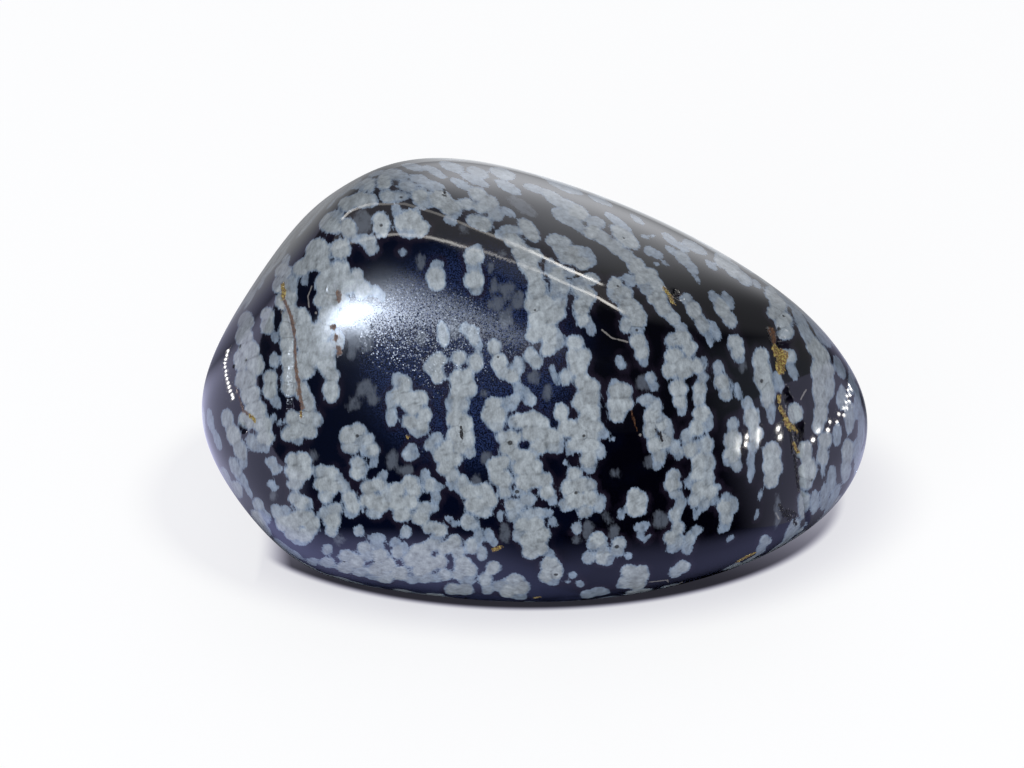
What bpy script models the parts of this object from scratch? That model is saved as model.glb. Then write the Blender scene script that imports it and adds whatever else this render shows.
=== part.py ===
"""Tumbled snowflake obsidian: one black glass stone, worn round, with a crack and small pits.

A chunk of volcanic glass breaks into facets and the tumbler rounds them into each other.
The stone is set out the same way. Each facet is a plane with a direction and a distance from
the heart of the stone, and its edge says how sharply it turns into its neighbours. Run in
Blender, this makes one closed object called stone, in metres, standing on its worn foot.
"""

import math

import bmesh
import bpy
import numpy as np

MM = 0.001

# The stone is shown from its front, -Y, by an eye that looks down at this angle.
SHOW_ELEVATION = math.radians(28.0)
SHOW_RIGHT = np.array([1.0, 0.0, 0.0])
SHOW_UP = np.array([0.0, math.sin(SHOW_ELEVATION), math.cos(SHOW_ELEVATION)])
SHOW_EYE = np.array([0.0, -math.cos(SHOW_ELEVATION), math.sin(SHOW_ELEVATION)])

# Facets of the broken chunk. Turn goes round the shown outline, anticlockwise from the right,
# in degrees. Lean tips the facet towards the eye, in degrees. Distance is from the heart, in
# mm. Edge is the sharpness of its borders, per mm: a high one keeps a ridge, a low one is round.
FACETS = [
    # place, turn, lean, distance, edge
    ("front face", 186, 80, 14.3, 0.85),
    ("front, to the right", 345, 66, 15.6, 0.6),
    ("front of the nose", 345, 40, 18.9, 0.5),
    ("front, to the left", 176, 40, 19.6, 0.6),
    ("front, low", 268, 58, 15.1, 0.6),
    ("front, under", 266, 32, 16.4, 0.5),
    ("top face", 66, 36, 13.6, 0.9),
    ("top, behind", 76, -14, 13.4, 0.8),
    ("top, to the right", 56, -8, 14.7, 0.7),
    ("crown", 98, 0, 16.9, 0.8),
    ("crown, to the left", 120, 4, 19.8, 0.8),
    ("left slope", 144, 6, 19.4, 0.8),
    ("left end", 179, 0, 24.4, 0.7),
    ("left, low", 219, 0, 21.2, 0.8),
    ("underside, left", 258, 4, 16.9, 0.7),
    ("underside", 270, -28, 14.0, 0.8),
    ("underside, right", 286, 0, 16.6, 0.7),
    ("nose, under", 308, 0, 20.8, 0.8),
    ("nose, low", 332, 0, 25.3, 0.7),
    ("nose tip", 354, 0, 26.1, 0.7),
    ("nose, upper", 15, 0, 24.2, 0.7),
    ("nose shoulder", 37, 0, 19.3, 0.8),
    ("back, upper", 92, -55, 18.8, 0.6),
    ("back, left", 192, -45, 20.0, 0.6),
    ("back, right", 346, -42, 21.0, 0.6),
    ("back", 110, -82, 18.2, 0.6),
]

# The foot is worn truly flat by this much, above the lowest point of the rounded underside.
FOOT_WEAR = 0.2

# Openings in the polish, each along a path seen from the front: mm right and mm up from the
# heart. Width is the half width at the surface and depth is the deepest point, in mm.
OPENINGS = [
    # name, half width, depth, path
    ("open crack", 0.62, 0.6, [(17.1, -1.2), (17.6, -2.1), (17.9, -3.1), (17.9, -4.1), (17.8, -5.0)]),
    ("closing crack", 0.30, 0.25, [(17.9, -5.8), (18.1, -7.2), (18.4, -8.6), (18.4, -9.9)]),
    ("ochre hollow", 0.75, 0.35, [(16.6, 3.3), (16.5, 2.4), (16.7, 1.4)]),
    ("ochre vein", 0.35, 0.15, [(16.7, -0.6), (17.1, -1.8), (17.7, -3.0)]),
    ("brown vein", 0.32, 0.18, [(-17.2, 6.2), (-16.8, 4.6), (-16.3, 2.8), (-16.3, 0.6), (-16.4, -1.8)]),
    ("rust pit", 0.42, 0.25, [(-13.5, 6.1), (-13.5, 5.7)]),
    ("left rust pit", 0.42, 0.2, [(-19.7, -2.8), (-19.6, -3.1)]),
    ("ridge pit", 0.4, 0.2, [(9.3, 5.9), (9.5, 5.7)]),
    ("edge pit", 0.45, 0.25, [(13.6, -12.6), (14.7, -12.3)]),
]

SPHERE_LEVEL = 5            # about 5000 triangles over the whole stone
FINER_WITHIN = (1.3, 0.7)   # mm from an opening within which each refinement halves the mesh
SOLVE_STEPS = 40            # halvings when the surface is sought along a line
FARTHEST = 40.0             # mm, outside the stone in every direction
FOOT_MERGE = 0.05           # mm, points nearer than this on the foot's rim are one

GLASS_COLOUR = (0.028, 0.028, 0.045, 1.0)
GLASS_ROUGHNESS = 0.12


def facet_direction(turn, lean):
    """Outward normal of a facet from its turn round the outline and its lean to the eye."""
    turn = math.radians(turn)
    lean = math.radians(lean)
    across = math.cos(turn) * SHOW_RIGHT + math.sin(turn) * SHOW_UP
    return math.cos(lean) * across + math.sin(lean) * SHOW_EYE


FACET_NORMALS = np.array([facet_direction(facet[1], facet[2]) for facet in FACETS])
FACET_DISTANCES = np.array([facet[3] for facet in FACETS])
FACET_EDGES = np.array([facet[4] for facet in FACETS])


def outside(points):
    """Above zero outside the rounded stone, below zero inside it."""
    beyond = (points @ FACET_NORMALS.T - FACET_DISTANCES) * FACET_EDGES
    return np.log(np.exp(beyond).sum(axis=-1))


def surface_along(starts, directions):
    """Points where lines that start inside the stone leave it."""
    inner = np.zeros(len(directions))
    outer = np.full(len(directions), FARTHEST)
    for _ in range(SOLVE_STEPS):
        middle = (inner + outer) / 2.0
        is_out = outside(starts + directions * middle[:, None]) > 0.0
        outer = np.where(is_out, middle, outer)
        inner = np.where(is_out, inner, middle)
    return starts + directions * inner[:, None]


def on_surface(directions):
    """Surface points in the given directions from the heart."""
    units = directions / np.linalg.norm(directions, axis=1)[:, None]
    return surface_along(np.zeros_like(units), units)


def seen_from_front(places):
    """Surface points that an eye at the front sees at the given mm right and up."""
    places = np.array(places)
    starts = places[:, :1] * SHOW_RIGHT + places[:, 1:] * SHOW_UP
    towards_eye = np.tile(SHOW_EYE, (len(places), 1))
    return surface_along(starts, towards_eye)


def distance_to_path(points, path):
    """Shortest distance from each point to a path of straight runs."""
    nearest = np.full(len(points), FARTHEST)
    for start, end in zip(path[:-1], path[1:]):
        run = end - start
        along = np.clip((points - start) @ run / (run @ run), 0.0, 1.0)
        gap = np.linalg.norm(points - start - along[:, None] * run, axis=1)
        nearest = np.minimum(nearest, gap)
    return nearest


def vertex_array(mesh):
    """Positions of a bmesh's vertices, in mm."""
    return np.array([vertex.co[:] for vertex in mesh.verts])


def set_vertices(mesh, points):
    """Moves a bmesh's vertices to the given positions."""
    for vertex, point in zip(mesh.verts, points):
        vertex.co = point


def refine_near(mesh, paths, reach):
    """Halves the edges that lie within reach of an opening."""
    points = vertex_array(mesh)
    gap = np.min([distance_to_path(points, path) for path in paths], axis=0)
    mesh.verts.index_update()
    edges = [edge for edge in mesh.edges if min(gap[vertex.index] for vertex in edge.verts) < reach]
    bmesh.ops.subdivide_edges(mesh, edges=edges, cuts=1, use_grid_fill=True)
    bmesh.ops.triangulate(mesh, faces=mesh.faces[:])
    set_vertices(mesh, on_surface(vertex_array(mesh)))


def sink_openings(mesh, paths):
    """Presses the cracks, hollows and pits into the surface."""
    points = vertex_array(mesh)
    inward = -points / np.linalg.norm(points, axis=1)[:, None]
    sunk = points.copy()
    for (_, half_width, depth, _), path in zip(OPENINGS, paths):
        nearness = np.clip(1.0 - distance_to_path(points, path) / half_width, 0.0, 1.0)
        press = depth * nearness * nearness * (3.0 - 2.0 * nearness)
        sunk += inward * press[:, None]
    set_vertices(mesh, sunk)


def wear_foot(mesh):
    """Cuts the underside flat, so that the stone has a true face to rest on."""
    level = vertex_array(mesh)[:, 2].min() + FOOT_WEAR
    everything = mesh.verts[:] + mesh.edges[:] + mesh.faces[:]
    cut = bmesh.ops.bisect_plane(
        mesh, geom=everything, plane_co=(0.0, 0.0, level), plane_no=(0.0, 0.0, -1.0), clear_outer=True)
    rim = [item for item in cut["geom_cut"] if isinstance(item, bmesh.types.BMVert)]
    bmesh.ops.remove_doubles(mesh, verts=rim, dist=FOOT_MERGE)
    open_edges = [edge for edge in mesh.edges if edge.is_boundary]
    bmesh.ops.edgeloop_fill(mesh, edges=open_edges)
    return level


def place_in_frame(mesh, level):
    """Stands the foot at z = 0 with the middle of the stone's box over the origin, in metres."""
    points = vertex_array(mesh)
    low = points.min(axis=0)
    high = points.max(axis=0)
    origin = np.array([(low[0] + high[0]) / 2.0, (low[1] + high[1]) / 2.0, level])
    set_vertices(mesh, (points - origin) * MM)


def make_glass():
    """Near-black polished glass."""
    material = bpy.data.materials.new("polished_stone")
    material.use_nodes = True
    shader = material.node_tree.nodes["Principled BSDF"]
    shader.inputs["Base Color"].default_value = GLASS_COLOUR
    shader.inputs["Roughness"].default_value = GLASS_ROUGHNESS
    shader.inputs["Metallic"].default_value = 0.0
    return material


def make_stone():
    """The whole stone as one closed object."""
    paths = [seen_from_front(opening[3]) for opening in OPENINGS]
    mesh = bmesh.new()
    bmesh.ops.create_icosphere(mesh, subdivisions=SPHERE_LEVEL, radius=1.0)
    set_vertices(mesh, on_surface(vertex_array(mesh)))
    for reach in FINER_WITHIN:
        refine_near(mesh, paths, reach)
    sink_openings(mesh, paths)
    level = wear_foot(mesh)
    place_in_frame(mesh, level)
    bmesh.ops.triangulate(mesh, faces=mesh.faces[:])
    bmesh.ops.recalc_face_normals(mesh, faces=mesh.faces[:])
    data = bpy.data.meshes.new("stone")
    mesh.to_mesh(data)
    mesh.free()
    data.shade_smooth()
    data.materials.append(make_glass())
    stone = bpy.data.objects.new("stone", data)
    bpy.context.scene.collection.objects.link(stone)


for old in list(bpy.data.objects):
    bpy.data.objects.remove(old, do_unlink=True)

make_stone()
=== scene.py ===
"""Tumbled snowflake obsidian: a stone of black volcanic glass full of grey-blue snowflakes.

The stone is worn round from a broken chunk, so its surface is a set of flat facets that the
tumbler has rounded into each other. Snowflakes are clusters of small round lobes that the polish
has cut flush: those of the shown face are placed one by one, and the rest follow the same flow
round the hidden sides. A crack with ochre and rust runs down near the nose. All shapes here are
in millimetres from the heart of the stone until they are placed, in metres, on the floor.
"""

import math

import bmesh
import bpy
import numpy as np
from bpy.props import FloatProperty, FloatVectorProperty, IntProperty, PointerProperty
from mathutils import Matrix, Vector, kdtree, noise


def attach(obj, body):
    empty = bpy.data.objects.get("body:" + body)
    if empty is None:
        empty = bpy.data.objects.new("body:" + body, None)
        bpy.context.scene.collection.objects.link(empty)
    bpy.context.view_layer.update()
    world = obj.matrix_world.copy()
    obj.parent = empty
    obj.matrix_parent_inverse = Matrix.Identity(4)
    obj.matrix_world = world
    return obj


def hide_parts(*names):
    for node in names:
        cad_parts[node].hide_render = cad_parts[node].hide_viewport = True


bl_info = {
    "name": "Snowflake obsidian stone",
    "version": (1, 0, 0),
    "blender": (4, 5, 0),
    "location": "3D View > Sidebar > Stone",
    "description": "Makes a tumbled snowflake obsidian, its ochre vein and a pale studio",
    "category": "Add Mesh",
}

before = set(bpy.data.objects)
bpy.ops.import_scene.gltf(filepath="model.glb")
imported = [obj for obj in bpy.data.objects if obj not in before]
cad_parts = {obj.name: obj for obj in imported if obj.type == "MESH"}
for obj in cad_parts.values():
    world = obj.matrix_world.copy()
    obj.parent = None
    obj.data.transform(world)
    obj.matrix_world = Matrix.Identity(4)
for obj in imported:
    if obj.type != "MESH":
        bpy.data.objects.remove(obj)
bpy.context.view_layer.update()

MM = 0.001

# The eye that shows the stone: its angle above the floor, and its three directions.
SHOW_ELEVATION = math.radians(28.0)
SHOW_RIGHT = np.array([1.0, 0.0, 0.0])
SHOW_UP = np.array([0.0, math.sin(SHOW_ELEVATION), math.cos(SHOW_ELEVATION)])
SHOW_EYE = np.array([0.0, -math.cos(SHOW_ELEVATION), math.sin(SHOW_ELEVATION)])

# The picture that the marks are read from, in its own pixels with y down.
PICTURE_SIZE = np.array([1024.0, 768.0])
HEART_IN_PICTURE = np.array([535.0, 382.0])
PX_PER_MM = 14.6            # at the heart of the stone
EYE_DISTANCE = 380.0        # mm from the eye to the plane of the heart
FOCAL_PX = PX_PER_MM * EYE_DISTANCE
AIM_SHIFT = (PICTURE_SIZE / 2.0 - HEART_IN_PICTURE) / PX_PER_MM
AIM = AIM_SHIFT[0] * SHOW_RIGHT - AIM_SHIFT[1] * SHOW_UP
EYE = AIM + EYE_DISTANCE * SHOW_EYE

# Facets of the broken chunk. Turn goes round the shown outline, anticlockwise from the right,
# in degrees. Lean tips the facet towards the eye, in degrees. Distance is from the heart, in
# mm. Edge is the sharpness of its borders, per mm: a high one keeps a ridge, a low one is round.
FACETS = [
    # place, turn, lean, distance, edge
    ("front face", 186, 80, 14.3, 0.85),
    ("front, to the right", 345, 66, 15.6, 0.6),
    ("front of the nose", 345, 40, 18.9, 0.5),
    ("front, to the left", 176, 40, 19.6, 0.6),
    ("front, low", 268, 58, 15.1, 0.6),
    ("front, under", 266, 32, 16.4, 0.5),
    ("top face", 66, 36, 13.6, 0.9),
    ("top, behind", 76, -14, 13.4, 0.8),
    ("top, to the right", 56, -8, 14.7, 0.7),
    ("crown", 98, 0, 16.9, 0.8),
    ("crown, to the left", 120, 4, 19.8, 0.8),
    ("left slope", 144, 6, 19.4, 0.8),
    ("left end", 179, 0, 24.4, 0.7),
    ("left, low", 219, 0, 21.2, 0.8),
    ("underside, left", 258, 4, 16.9, 0.7),
    ("underside", 270, -28, 14.0, 0.8),
    ("underside, right", 286, 0, 16.6, 0.7),
    ("nose, under", 308, 0, 20.8, 0.8),
    ("nose, low", 332, 0, 25.3, 0.7),
    ("nose tip", 354, 0, 26.1, 0.7),
    ("nose, upper", 15, 0, 24.2, 0.7),
    ("nose shoulder", 37, 0, 19.3, 0.8),
    ("back, upper", 92, -55, 18.8, 0.6),
    ("back, left", 192, -45, 20.0, 0.6),
    ("back, right", 346, -42, 21.0, 0.6),
    ("back", 110, -82, 18.2, 0.6),
]
FOOT_WEAR = 0.2             # mm worn truly flat above the lowest point of the underside
FARTHEST = 40.0             # mm, outside the stone in every direction
SOLVE_STEPS = 36            # halvings when the surface is sought along a line

# Openings in the polish, each along a path seen from the front: mm right and mm up from the
# heart. Width is the half width at the surface and depth is the deepest point, in mm.
OPENINGS = [
    # name, half width, depth, path
    ("open crack", 0.30, 0.2, [(17.1, -1.2), (17.6, -2.1), (17.9, -3.1), (17.9, -4.1), (17.8, -5.0)]),
    ("closing crack", 0.30, 0.25, [(17.9, -5.8), (18.1, -7.2), (18.4, -8.6), (18.4, -9.9)]),
    ("ochre hollow", 0.75, 0.35, [(16.6, 3.3), (16.5, 2.4), (16.7, 1.4)]),
    ("ochre vein", 0.35, 0.15, [(16.7, -0.6), (17.1, -1.8), (17.7, -3.0)]),
    ("brown vein", 0.32, 0.18, [(-17.2, 6.2), (-16.8, 4.6), (-16.3, 2.8), (-16.3, 0.6), (-16.4, -1.8)]),
    ("rust pit", 0.42, 0.25, [(-13.5, 6.1), (-13.5, 5.7)]),
    ("left rust pit", 0.42, 0.2, [(-19.7, -2.8), (-19.6, -3.1)]),
    ("ridge pit", 0.4, 0.2, [(9.3, 5.9), (9.5, 5.7)]),
    ("edge pit", 0.45, 0.25, [(13.6, -12.6), (14.7, -12.3)]),
]

# Lobes of the snowflakes on the shown face, read from the picture, in its pixels.
# A round lobe is x, y, radius. An upright oval is x, y, half width, half height. A tilted oval
# is x, y, longer half, shorter half and the tilt of its long axis, in degrees down to the right.
FLAKES = [
    # Crown and left shoulder.
    (328, 222, 11), (335, 216, 8, 6), (348, 228, 11, 9, 70), (357, 239, 8, 4), (368, 241, 9, 7),
    (372, 249, 7), (345, 203, 8), (360, 199, 13, 9), (371, 200, 7), (358, 185, 8, 5), (367, 183, 8, 7),
    (376, 173, 9, 4, -10), (384, 180, 8, 9), (391, 173, 11, 6), (402, 176, 7, 5), (331, 204, 7, 3, -50),
    (343, 194, 6, 2, -25), (312, 220, 7, 4, -50), (316, 249, 13, 12), (310, 262, 10, 9),
    (322, 264, 9, 10), (340, 249, 11), (300, 268, 9), (305, 280, 4, 6), (328, 275, 8, 10),
    (322, 284, 8, 12), (340, 270, 11, 10), (346, 283, 12), (357, 278, 8, 11), (362, 290, 10),
    (375, 291, 6), (382, 297, 4, 6), (286, 259, 6), (282, 270, 10, 9), (280, 284, 10), (292, 284, 6, 10),
    (288, 297, 10, 9), (262, 281, 5, 10), (381, 224, 14, 9, 80), (407, 186, 10, 6, 15), (388, 196, 9, 7),
    (400, 196, 9, 6), (396, 209, 5, 6), (401, 222, 8, 9), (411, 219, 11), (421, 228, 9, 10),
    (408, 234, 9, 5), (420, 179, 9, 5, 15), (430, 185, 10, 5, 15), (438, 187, 8, 5, 25), (420, 196, 9),
    (424, 204, 7, 6), (441, 199, 12, 10, 30), (450, 207, 11, 9, 30), (455, 214, 6, 5), (466, 204, 8, 7),
    (450, 221, 8, 4, 30), (474, 220, 8, 7), (484, 224, 9, 8, 30), (403, 252, 5, 4, 40),
    # Strips along the top.
    (461, 184, 13, 4, 30), (478, 194, 11, 7, 30), (490, 202, 10, 7, 30), (482, 207, 8, 7),
    (495, 214, 10, 6, 40), (508, 212, 9, 4, 35), (475, 180, 16, 4, 25), (478, 172, 12, 5, 25),
    (503, 173, 14, 6, 20), (508, 187, 15, 5, 30), (451, 166, 13, 5, 20), (434, 171, 13, 4, 30),
    (412, 166, 11, 4, 15), (533, 188, 11, 4, 20), (554, 198, 15, 6, 35), (563, 217, 14, 6, 35),
    (561, 185, 15, 4, 20), (529, 230, 15, 8, 50), (554, 240, 9, 7), (561, 249, 10, 7, 30),
    (566, 257, 9, 7), (501, 234, 6, 5), (510, 230, 10, 6), (513, 240, 12, 8, 30), (520, 251, 9),
    (533, 256, 10, 9), (526, 265, 10, 8, 40), (534, 274, 9, 10), (538, 286, 9), (532, 296, 7),
    (550, 266, 5, 9), (557, 275, 9, 10), (564, 287, 7, 9), (555, 290, 6, 8), (560, 303, 7, 8),
    (437, 264, 7, 5), (435, 275, 10, 9), (437, 284, 9, 8), (478, 247, 4), (474, 256, 11, 10),
    (474, 268, 7, 5), (474, 280, 11), (476, 290, 6),
    # Sloping top, to the right.
    (565, 204, 12, 6, 25), (578, 212, 12, 8, 35), (563, 214, 9, 6), (575, 222, 10, 6, 40),
    (582, 230, 5, 4), (596, 222, 10, 6, 20), (592, 232, 9, 8), (603, 238, 11, 7, 40),
    (625, 237, 18, 8, 40), (618, 222, 17, 4, 38), (615, 247, 12, 7, 40), (627, 256, 10, 7, 40),
    (636, 266, 9), (642, 277, 9), (650, 275, 9, 8), (657, 286, 9, 8, 50), (648, 290, 10, 6, 30),
    (661, 300, 8, 9), (629, 280, 8, 5, 50), (615, 284, 8), (622, 293, 12, 8, 10), (612, 292, 6),
    (628, 304, 9, 8), (590, 279, 10, 7), (580, 282, 8, 5), (568, 272, 8, 5, 30), (580, 290, 8, 7),
    (588, 296, 9), (582, 305, 9, 8), (572, 255, 11, 10), (583, 263, 9, 8), (580, 252, 8, 6, 40),
    (563, 243, 9, 7), (590, 256, 11, 5, 60), (650, 251, 7, 5, 30), (658, 255, 6, 4, 20),
    (645, 237, 4, 2, 30), (652, 236, 3, 2), (637, 219, 9, 3, 40), (670, 239, 10, 4, 40),
    (682, 247, 9, 3, 35), (672, 251, 9, 3, 35), (683, 258, 10, 6, 45), (692, 268, 8, 5, 55),
    (697, 279, 6, 2, 70), (695, 247, 14, 5, 30), (711, 265, 8, 3, 42), (722, 260, 9, 7, 40),
    (732, 268, 12, 7, 45), (743, 277, 11, 6, 48), (744, 265, 14, 3, 40), (665, 263, 5, 2, 40),
    (656, 264, 3, 2, 30), (568, 188, 16, 4, 22), (600, 200, 14, 3, 25),
    # Right shoulder.
    (714, 297, 8, 5, 60), (722, 308, 12, 8, 60), (730, 320, 9, 7, 60), (728, 300, 10, 5, 60),
    (735, 342, 9, 8), (738, 352, 8, 9), (739, 360, 4), (757, 284, 6, 3, 55), (772, 292, 8, 7, 50),
    (778, 302, 12, 8, 50), (775, 312, 9, 8), (784, 320, 10, 9), (788, 332, 7, 8), (785, 298, 16, 4, 45),
    # Middle of the front face.
    (582, 308, 9), (583, 320, 8), (591, 328, 9, 5, 80), (575, 342, 9, 8), (573, 357, 8, 9),
    (584, 357, 8, 10), (578, 368, 10, 9), (566, 377, 7, 9), (582, 382, 9), (590, 387, 11, 10),
    (592, 398, 9, 10), (580, 402, 8, 10), (590, 412, 11, 12), (585, 425, 10, 11), (596, 428, 8),
    (561, 412, 8, 10), (567, 428, 10), (558, 312, 8, 10), (558, 340, 6, 10), (620, 296, 11, 7),
    (630, 308, 12, 9), (638, 318, 10, 11), (626, 325, 7, 9), (636, 329, 8, 5), (638, 341, 9),
    (642, 352, 8, 9), (644, 362, 4, 6), (621, 363, 9, 5, 65), (620, 392, 13, 11), (620, 404, 14, 11),
    (617, 415, 9, 8), (614, 384, 4, 5), (651, 378, 6, 7), (655, 387, 4, 5), (646, 400, 9, 6),
    (656, 406, 7, 8), (652, 416, 9), (650, 430, 8, 10), (660, 420, 6, 8), (668, 430, 6, 11),
    (655, 297, 9, 8), (663, 308, 9, 8, 40), (673, 318, 9, 7, 40), (681, 328, 8, 6, 40), (672, 340, 7, 8),
    (682, 338, 10, 9), (690, 348, 8, 9), (674, 356, 10, 9), (669, 370, 8, 10), (684, 368, 11, 12),
    (697, 366, 9), (703, 378, 6), (703, 362, 4, 7), (678, 388, 10), (680, 402, 8), (682, 411, 5),
    (700, 388, 8), (699, 399, 7, 8), (702, 414, 10, 9), (697, 428, 8, 9), (709, 422, 5, 10),
    (687, 299, 7, 6, 60), (694, 310, 11, 8, 60), (702, 324, 11, 7, 60), (709, 338, 9, 4, 75),
    (715, 331, 11, 5, 70), (718, 368, 6, 8), (722, 382, 9), (726, 394, 7, 8), (738, 391, 9, 4, 75),
    # Nose.
    (761, 359, 9, 13), (763, 376, 10, 15), (768, 394, 8, 16), (771, 412, 5, 13), (800, 318, 14, 5, 60),
    (806, 332, 16, 6, 62), (815, 347, 13, 8, 60), (822, 354, 11, 8, 50), (812, 322, 13, 4, 52),
    (823, 336, 14, 5, 50), (790, 356, 8, 7, 60), (793, 372, 9, 5, 65), (779, 382, 12, 5, 70),
    (818, 370, 8, 12), (827, 371, 9, 11), (819, 388, 8, 14), (829, 387, 7, 14), (822, 400, 9, 8),
    (821, 413, 8, 12), (818, 426, 7, 8), (840, 367, 13, 5, 66), (842, 398, 6, 13), (850, 417, 6, 17),
    (837, 435, 5, 12), (848, 452, 7, 14), (846, 471, 6, 13), (825, 440, 8, 9), (823, 456, 7, 10),
    (806, 452, 8, 12), (809, 470, 9, 14), (806, 483, 7, 8), (796, 414, 8, 12), (832, 479, 5, 14),
    (823, 471, 2.5, 8), (804, 505, 7, 15), (815, 503, 5, 13), (825, 498, 5, 14), (833, 500, 17, 4, -65),
    (852, 380, 4, 15), (858, 401, 4, 18), (862, 428, 4.5, 24), (858, 458, 4, 20), (851, 484, 13, 3, -68),
    (733, 424, 6, 8), (733, 440, 10, 11), (732, 455, 9, 10), (737, 466, 6, 7), (728, 461, 5, 6),
    (748, 404, 6, 8), (752, 418, 9, 11), (756, 434, 8, 9), (753, 446, 6, 7), (751, 466, 4, 17),
    (772, 452, 10, 11), (773, 467, 11, 12), (771, 481, 8, 8),
    # Left end.
    (267, 314, 8), (267, 326, 8, 9), (275, 337, 4, 6), (274, 360, 6, 8), (270, 378, 8, 9),
    (270, 390, 8, 10), (276, 402, 8, 5, 60), (283, 300, 10), (290, 315, 10, 12), (287, 330, 9, 12),
    (288, 345, 9, 12), (290, 360, 10, 12), (290, 375, 9, 12), (289, 388, 9), (302, 318, 9, 11),
    (305, 332, 12), (310, 345, 14, 12), (308, 358, 12, 10), (303, 370, 12, 10), (325, 352, 11, 12),
    (326, 364, 10, 12), (332, 375, 8), (331, 391, 9, 13), (303, 392, 12, 8, 70), (308, 404, 8, 10),
    (245, 320, 10), (243, 335, 10, 12), (248, 350, 12), (255, 365, 10, 12), (240, 360, 8, 12),
    (245, 380, 12), (250, 395, 11, 12), (255, 410, 12), (262, 424, 11, 10), (247, 420, 10),
    (265, 438, 10, 9), (262, 448, 8, 5), (252, 442, 10, 6, 70), (273, 417, 3, 4), (279, 423, 2, 4),
    # Around the bright patch.
    (332, 284, 12, 13), (336, 300, 13, 10), (322, 300, 8, 10, 70), (328, 316, 11, 12), (322, 331, 12, 10),
    (338, 340, 7, 12), (443, 334, 14, 7, 80), (465, 328, 6, 7), (473, 335, 12, 7, 75), (478, 345, 4, 6),
    (438, 360, 9), (430, 367, 7, 8), (438, 376, 8, 9), (459, 358, 8, 9), (476, 362, 8, 11),
    (494, 347, 8, 9), (499, 362, 9, 10), (504, 373, 8, 7), (518, 366, 6, 10), (512, 376, 8),
    (518, 388, 5, 6), (530, 355, 7, 8), (536, 362, 7, 8), (537, 290, 10), (533, 305, 9, 10),
    (545, 303, 10), (538, 320, 11), (552, 315, 10), (534, 335, 9), (548, 333, 10), (555, 340, 8),
    (548, 350, 8), (561, 300, 5, 10), (552, 368, 3, 4), (555, 378, 7, 3, 75), (526, 392, 4, 6),
    (531, 400, 6, 7), (397, 380, 6, 8), (405, 385, 8, 10), (398, 396, 8, 9), (408, 400, 9, 10),
    (391, 400, 6, 10), (391, 417, 6, 10), (421, 398, 8, 9), (413, 408, 9, 8), (425, 415, 8, 9),
    (410, 422, 9, 8), (421, 427, 9, 8), (418, 431, 9, 6), (457, 378, 8, 9), (466, 378, 8, 10),
    (460, 390, 11, 10), (470, 388, 8, 9), (456, 402, 8, 9), (463, 404, 7, 8), (450, 402, 5, 8),
    (455, 418, 10), (465, 424, 9, 10), (457, 434, 10), (468, 440, 8, 10), (460, 448, 8), (470, 453, 6),
    (493, 405, 9), (488, 415, 8, 10), (498, 415, 9, 10), (496, 426, 8, 7), (507, 401, 6, 5),
    (516, 399, 6), (511, 406, 6, 5), (520, 421, 10, 8), (533, 419, 11, 9), (514, 423, 6), (542, 424, 8),
    (530, 433, 10, 9), (543, 434, 9, 8), (552, 437, 10, 9), (540, 446, 9, 8), (553, 447, 9, 7),
    (535, 452, 6, 5),
    # Lower left.
    (292, 418, 8, 9), (306, 418, 10, 9), (316, 420, 7, 9), (298, 430, 11, 10), (288, 434, 8),
    (310, 432, 8), (297, 441, 6, 4), (271, 462, 6), (276, 469, 6), (271, 484, 5, 4), (275, 488, 4, 3),
    (293, 460, 8), (303, 460, 9), (293, 472, 9), (304, 472, 9), (295, 484, 9, 7), (295, 498, 8, 7),
    (302, 503, 9, 8), (308, 504, 5, 6), (321, 472, 7, 8), (331, 473, 8), (322, 484, 9), (333, 486, 9),
    (326, 497, 8, 7), (338, 478, 6), (344, 487, 6, 7), (349, 498, 8), (353, 507, 8), (352, 515, 5, 4),
    (348, 436, 10), (358, 430, 8), (350, 448, 9, 7), (360, 441, 6, 8), (368, 440, 7, 8), (372, 450, 8),
    (375, 462, 4, 6), (365, 450, 5, 6), (358, 463, 8, 7), (357, 473, 8), (362, 470, 6, 7), (368, 488, 8),
    (378, 485, 9, 8), (383, 475, 5, 6), (370, 500, 10, 9), (380, 505, 10, 9), (374, 514, 8, 6),
    (386, 498, 7, 8), (324, 513, 6, 7), (335, 509, 8, 7), (333, 520, 9), (331, 531, 7), (327, 550, 6),
    (359, 531, 6), (373, 538, 5), (380, 538, 6, 5), (377, 545, 7, 5), (277, 512, 9, 6, 60),
    (285, 511, 5, 6), (283, 524, 9), (295, 520, 9), (306, 518, 10, 8), (312, 526, 8, 10),
    (292, 534, 9, 8), (304, 536, 10, 8), (300, 543, 8, 3), (258, 505, 8, 6, 60), (265, 517, 8, 5, 60),
    (227, 418, 7, 10), (233, 435, 12, 8, 75), (240, 450, 12, 7, 70), (243, 463, 5, 6),
    (235, 468, 12, 6, 65), (243, 480, 8, 4, 65), (249, 492, 7, 3, 60), (226, 478, 12, 6, 70),
    (236, 490, 10, 7, 60), (258, 520, 12, 8, 55), (266, 530, 8, 6, 55), (210, 420, 12, 4, 80),
    (217, 440, 12, 4, 70), (283, 546, 12, 5, 40), (295, 554, 10, 4, 35),
    # Lower middle.
    (408, 455, 6, 7), (412, 448, 6, 5), (416, 455, 4), (430, 445, 6, 7), (437, 438, 6), (440, 455, 8, 9),
    (448, 448, 8, 9), (455, 459, 8), (445, 468, 9), (452, 475, 7, 8), (425, 475, 5, 7), (430, 485, 7, 8),
    (437, 487, 6, 5), (436, 497, 6, 5, 60), (453, 486, 5, 6), (463, 482, 7, 8), (470, 492, 11, 9),
    (485, 490, 8), (475, 505, 12, 9), (490, 500, 9), (484, 512, 9, 7), (495, 465, 9), (503, 462, 8),
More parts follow.
